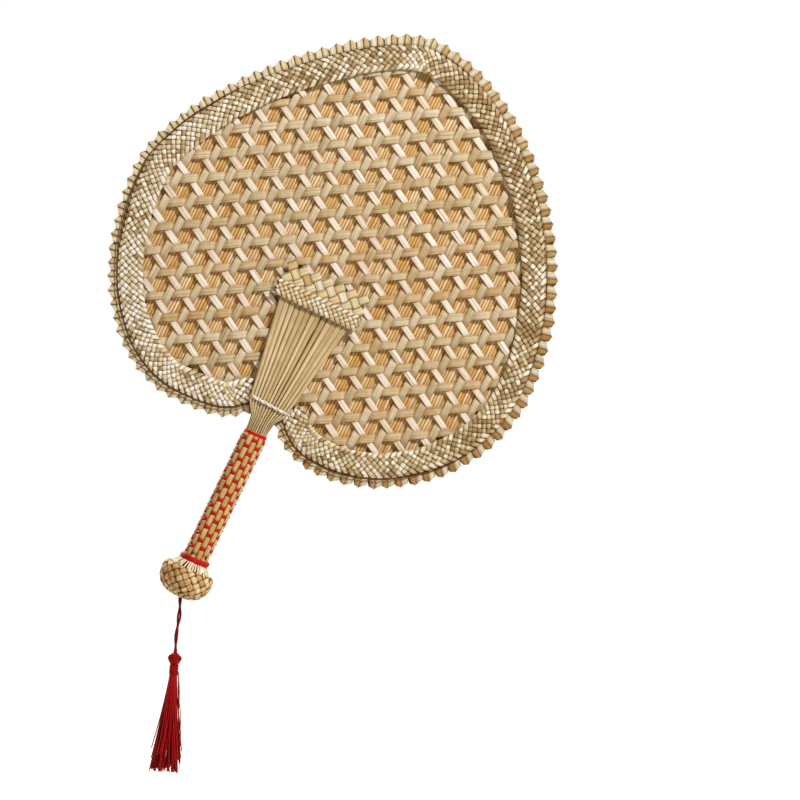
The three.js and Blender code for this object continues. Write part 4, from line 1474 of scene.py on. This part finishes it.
# Cord and tassel hang plumb from the pommel. Their places are in frame millimetres below the pivot, and
# those of the tassel are below the cord. Each clump of the skirt is (size, waves round it, phase).
hanging = {
    "pivot": (-20.535, 0, -61.454),
    "cordTop": 1.5,
    "cordLength": 30.2,
    "cordOverlap": 1.1,
    "sway": 0.35,
    "swayShares": [0, 0.4, 0.9, 1, 0.6, 0, -0.6, -1, -0.9, -0.4, 0],
    "pathPoints": 34,
    "plyStations": 150,
    "plyOffset": 0.5,
    "plyRadius": 0.67,
    "cordPitch": 23,
    "openingDepth": 10,
    "openingReach": 3,
    "openingShare": 0.45,
    "knotRadius": 3.5,
    "knotDrop": 4.6,
    "knotTurns": 7,
    "knotStations": 260,
    "knotEnds": 0.06,
    "knotBall": 0.86,
    "knotTall": 1.08,
    "crossStations": 60,
    "crossDepth": 3.4,
    "crossHeight": 3.6,
    "crossRise": 0.4,
    "knotThreads": [0.72, 0.55, 0.55],
    "knotTilts": (0.55, -0.75),
    "bindingTop": 8.0,
    "bindingBottom": 13.4,
    "bindingRadius": 2.25,
    "bindingThread": 0.46,
    "bindingTurns": 7,
    "bindingStations": 240,
    "tones": (0.2, 0.8),
    "threads": 150,
    "threadRadius": 0.3,
    "threadWidths": (0.85, 1.15),
    "threadStations": 14,
    "skirtTop": 12.6,
    "skirtLength": 58,
    "topSpread": 1.9,
    "endSpread": 9.1,
    "spreadPower": 1.25,
    "clumps": [(0.26, 5, 0), (0.12, 11, 2)],
    "curl": 0.12,
    "curlWaves": 5,
    "unevenEnds": 2.5,
    "shortEnds": 13,
    "shortPower": 4,
    "cordThread": {"colour": (116, 10, 30), "dark": (54, 3, 13)},
    "tasselThread": {"colour": (160, 7, 13), "dark": (88, 2, 5), "roughness": 0.45},
}
# Loose threads at the right of the skirt. Each is shorter and further back than the one before.
loose = {
    "threads": 3,
    "radius": 0.26,
    "top": 11.5,
    "length": 56,
    "shorter": 3,
    "startSpread": 2.2,
    "addedSpread": 6.3,
    "spreadPower": 0.8,
    "curl": 0.5,
    "curlWaves": 9,
    "firstDepth": -0.8,
    "depthStep": 0.7,
}


def plumbFrame(points):
    # Side and face vectors square to a path, with the face as near to y as it goes.
    travel = unit(np.gradient(points, axis=0))
    side = unit(np.cross(np.broadcast_to((0, 1.0, 0), points.shape), travel))
    return side, unit(np.cross(travel, side))


def sweepHanging(name, centre, side, normal, halfWidth, strand, sides, tone):
    # Round threads in frame millimetres below the pivot.
    wide, tones = (np.broadcast_to(np.asarray(value, float), (len(centre),)) for value in (halfWidth, tone))
    points = (centre + np.array(hanging["pivot"])) / 1000
    wide = wide / 1000
    return sweptMesh(name, points, side, normal, wide, wide, strand, roundSection(sides), tones, 0 * tones)


def hangCord(material):
    # Two plies round a path that sways a little to both sides. They stand apart round one opening.
    length, shares = hanging["cordLength"], hanging["swayShares"]
    z = np.linspace(hanging["cordTop"], -length - hanging["cordOverlap"], hanging["pathPoints"])
    x = np.interp(-z, np.linspace(0, length, len(shares)), np.array(shares) * hanging["sway"])
    points = np.stack((x, 0 * x, z), -1)
    fine = np.linspace(0, 1, hanging["plyStations"])
    dense = np.stack([np.interp(fine, np.linspace(0, 1, len(z)), values) for values in points.T], -1)
    opening = np.exp(-(((dense[:, 2] + hanging["openingDepth"]) / hanging["openingReach"]) ** 2))
    offset = hanging["plyOffset"] * (1 + hanging["openingShare"] * opening)
    centre, sides, normals, strand = twisted(dense, *plumbFrame(dense), offset, hanging["cordPitch"])
    mesh = sweepHanging("hangCord", centre, sides, normals, hanging["plyRadius"], strand, 8, 0.5)
    piece = addPiece("hangCord", mesh, material, ["hang_cord"], "cord")
    path = (points + np.array(hanging["pivot"])) / 1000
    return piece, path, float(lengthAlong(path)[-1])


def tasselPiece(name, node, paths, widths, material):
    # Round threads along paths below the pivot, each with its own radius and tone.
    tones = rng.uniform(*hanging["tones"], len(paths))
    parts = [(path, *plumbFrame(path), width, tone) for path, width, tone in zip(paths, widths, tones)]
    centre, side, normal, wide, tone, strand = joinStrands(parts)
    mesh = sweepHanging(name, centre, side, normal, wide, strand, 6, tone)
    return addPiece(name, mesh, material, [node], "tassel")


def tasselKnot(material):
    # Thread wound in a spiral over a ball, and a few turns laid across them.
    turn = np.linspace(0, 2 * np.pi * hanging["knotTurns"], hanging["knotStations"])
    fall = np.linspace(hanging["knotEnds"], np.pi - hanging["knotEnds"], len(turn))
    tall = hanging["knotTall"] * np.cos(fall)
    ball = np.stack((np.sin(fall) * np.cos(turn), np.sin(fall) * np.sin(turn), tall), -1)
    paths = [ball * hanging["knotRadius"] * hanging["knotBall"]]
    loop = np.linspace(0, 2 * np.pi, hanging["crossStations"])
    for tilt in hanging["knotTilts"]:
        depth = hanging["crossDepth"] * np.sin(loop) * math.cos(tilt)
        rise = hanging["crossHeight"] * np.sin(loop) * math.sin(tilt) + hanging["crossRise"]
        paths.append(np.stack((hanging["knotRadius"] * np.cos(loop), depth, rise), -1))
    middle = -hanging["cordLength"] - hanging["knotDrop"]
    paths = [path + (0, 0, middle) for path in paths]
    return tasselPiece("tasselKnot", "tassel_knot", paths, hanging["knotThreads"], material)


def tasselBinding(material):
    # A close coil round the neck of the tassel.
    low, radius = -hanging["cordLength"], hanging["bindingRadius"]
    turn = np.linspace(0, 2 * np.pi * hanging["bindingTurns"], hanging["bindingStations"])
    height = np.linspace(low - hanging["bindingTop"], low - hanging["bindingBottom"], len(turn))
    wrap = np.stack((radius * np.cos(turn), radius * np.sin(turn), height), -1)
    return tasselPiece("tasselBinding", "tassel_binding", [wrap], [hanging["bindingThread"]], material)


def tasselSkirt(material):
    # Threads that leave the binding side by side and spread as they fall, in clumps. A few loose ones
    # hang at the right.
    low, count = -hanging["cordLength"], hanging["threads"]
    share = np.linspace(0, 1, hanging["threadStations"])
    added = (hanging["endSpread"] - hanging["topSpread"]) * share ** hanging["spreadPower"]
    spread = hanging["topSpread"] + added
    paths, widths = [], []
    for number in range(count):
        angle, place = number * goldenAngle, math.sqrt((number + 0.5) / count)
        clump = sum(size * math.sin(angle * waves + phase) for size, waves, phase in hanging["clumps"])
        reach = place * spread
        bend = angle + clump * share + hanging["curl"] * np.sin(share * hanging["curlWaves"] + number)
        short = rng.uniform(0, hanging["unevenEnds"])
        short = short + hanging["shortEnds"] * rng.uniform() ** hanging["shortPower"]
        drop = low - hanging["skirtTop"] - (hanging["skirtLength"] - short) * share
        paths.append(np.stack((reach * np.cos(bend), reach * np.sin(bend), drop), -1))
        widths.append(hanging["threadRadius"] * rng.uniform(*hanging["threadWidths"]))
    for number in range(loose["threads"]):
        sway = loose["startSpread"] + loose["addedSpread"] * share ** loose["spreadPower"]
        sway = sway + loose["curl"] * np.sin(share * (loose["curlWaves"] + number) + number)
        depth = loose["firstDepth"] + loose["depthStep"] * number + 0 * share
        drop = low - loose["top"] - (loose["length"] - loose["shorter"] * number) * share
        paths.append(np.stack((sway, depth, drop), -1))
        widths.append(loose["radius"])
    tasselPiece("tasselSkirt", "tassel_skirt", paths, widths, material)


buildStudio()
print("studio ready")
cordPiece, cordPath, cordReach = hangCord(threadMaterial("cordThread", **hanging["cordThread"]))
tasselThread = threadMaterial("tasselThread", **hanging["tasselThread"])
knotPiece = tasselKnot(tasselThread)
bindingPiece = tasselBinding(tasselThread)
tasselSkirt(tasselThread)
print("cord and tassel ready")
backingStraws()
openWeave()
print("blade ready")
rimPieces()
print("border ready")
coverStraw = strawMaterial("coverStraw", **cover["straw"])
bandStraw = strawMaterial("bandStraw", **band["straw"])
whiteThread = threadMaterial("whiteThread", **neckTie["thread"])
for word in faces:
    rootCover(word, coverStraw)
    coverBand(word, bandStraw)
    neckThread(word, whiteThread)
print("root cover ready")
redThread = threadMaterial("redThread", **grip["thread"])
handleStraws(strawMaterial("handleStraw", **grip["straw"]))
redWeft(redThread)
coil("neckBinding", redThread)
coil("redRing", redThread, ["red_ring"])
pommelSlivers(strawMaterial("sliverStraw", **slivers["straw"]))
pommelBun(strawMaterial("bunStraw", **pommel["straw"]))
coreWood = woodMaterial("coreWood")
for node in ("handle_core", "pommel_filling"):
    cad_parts[node].data.materials.clear()
    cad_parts[node].data.materials.append(coreWood)
print("handle and pommel ready")
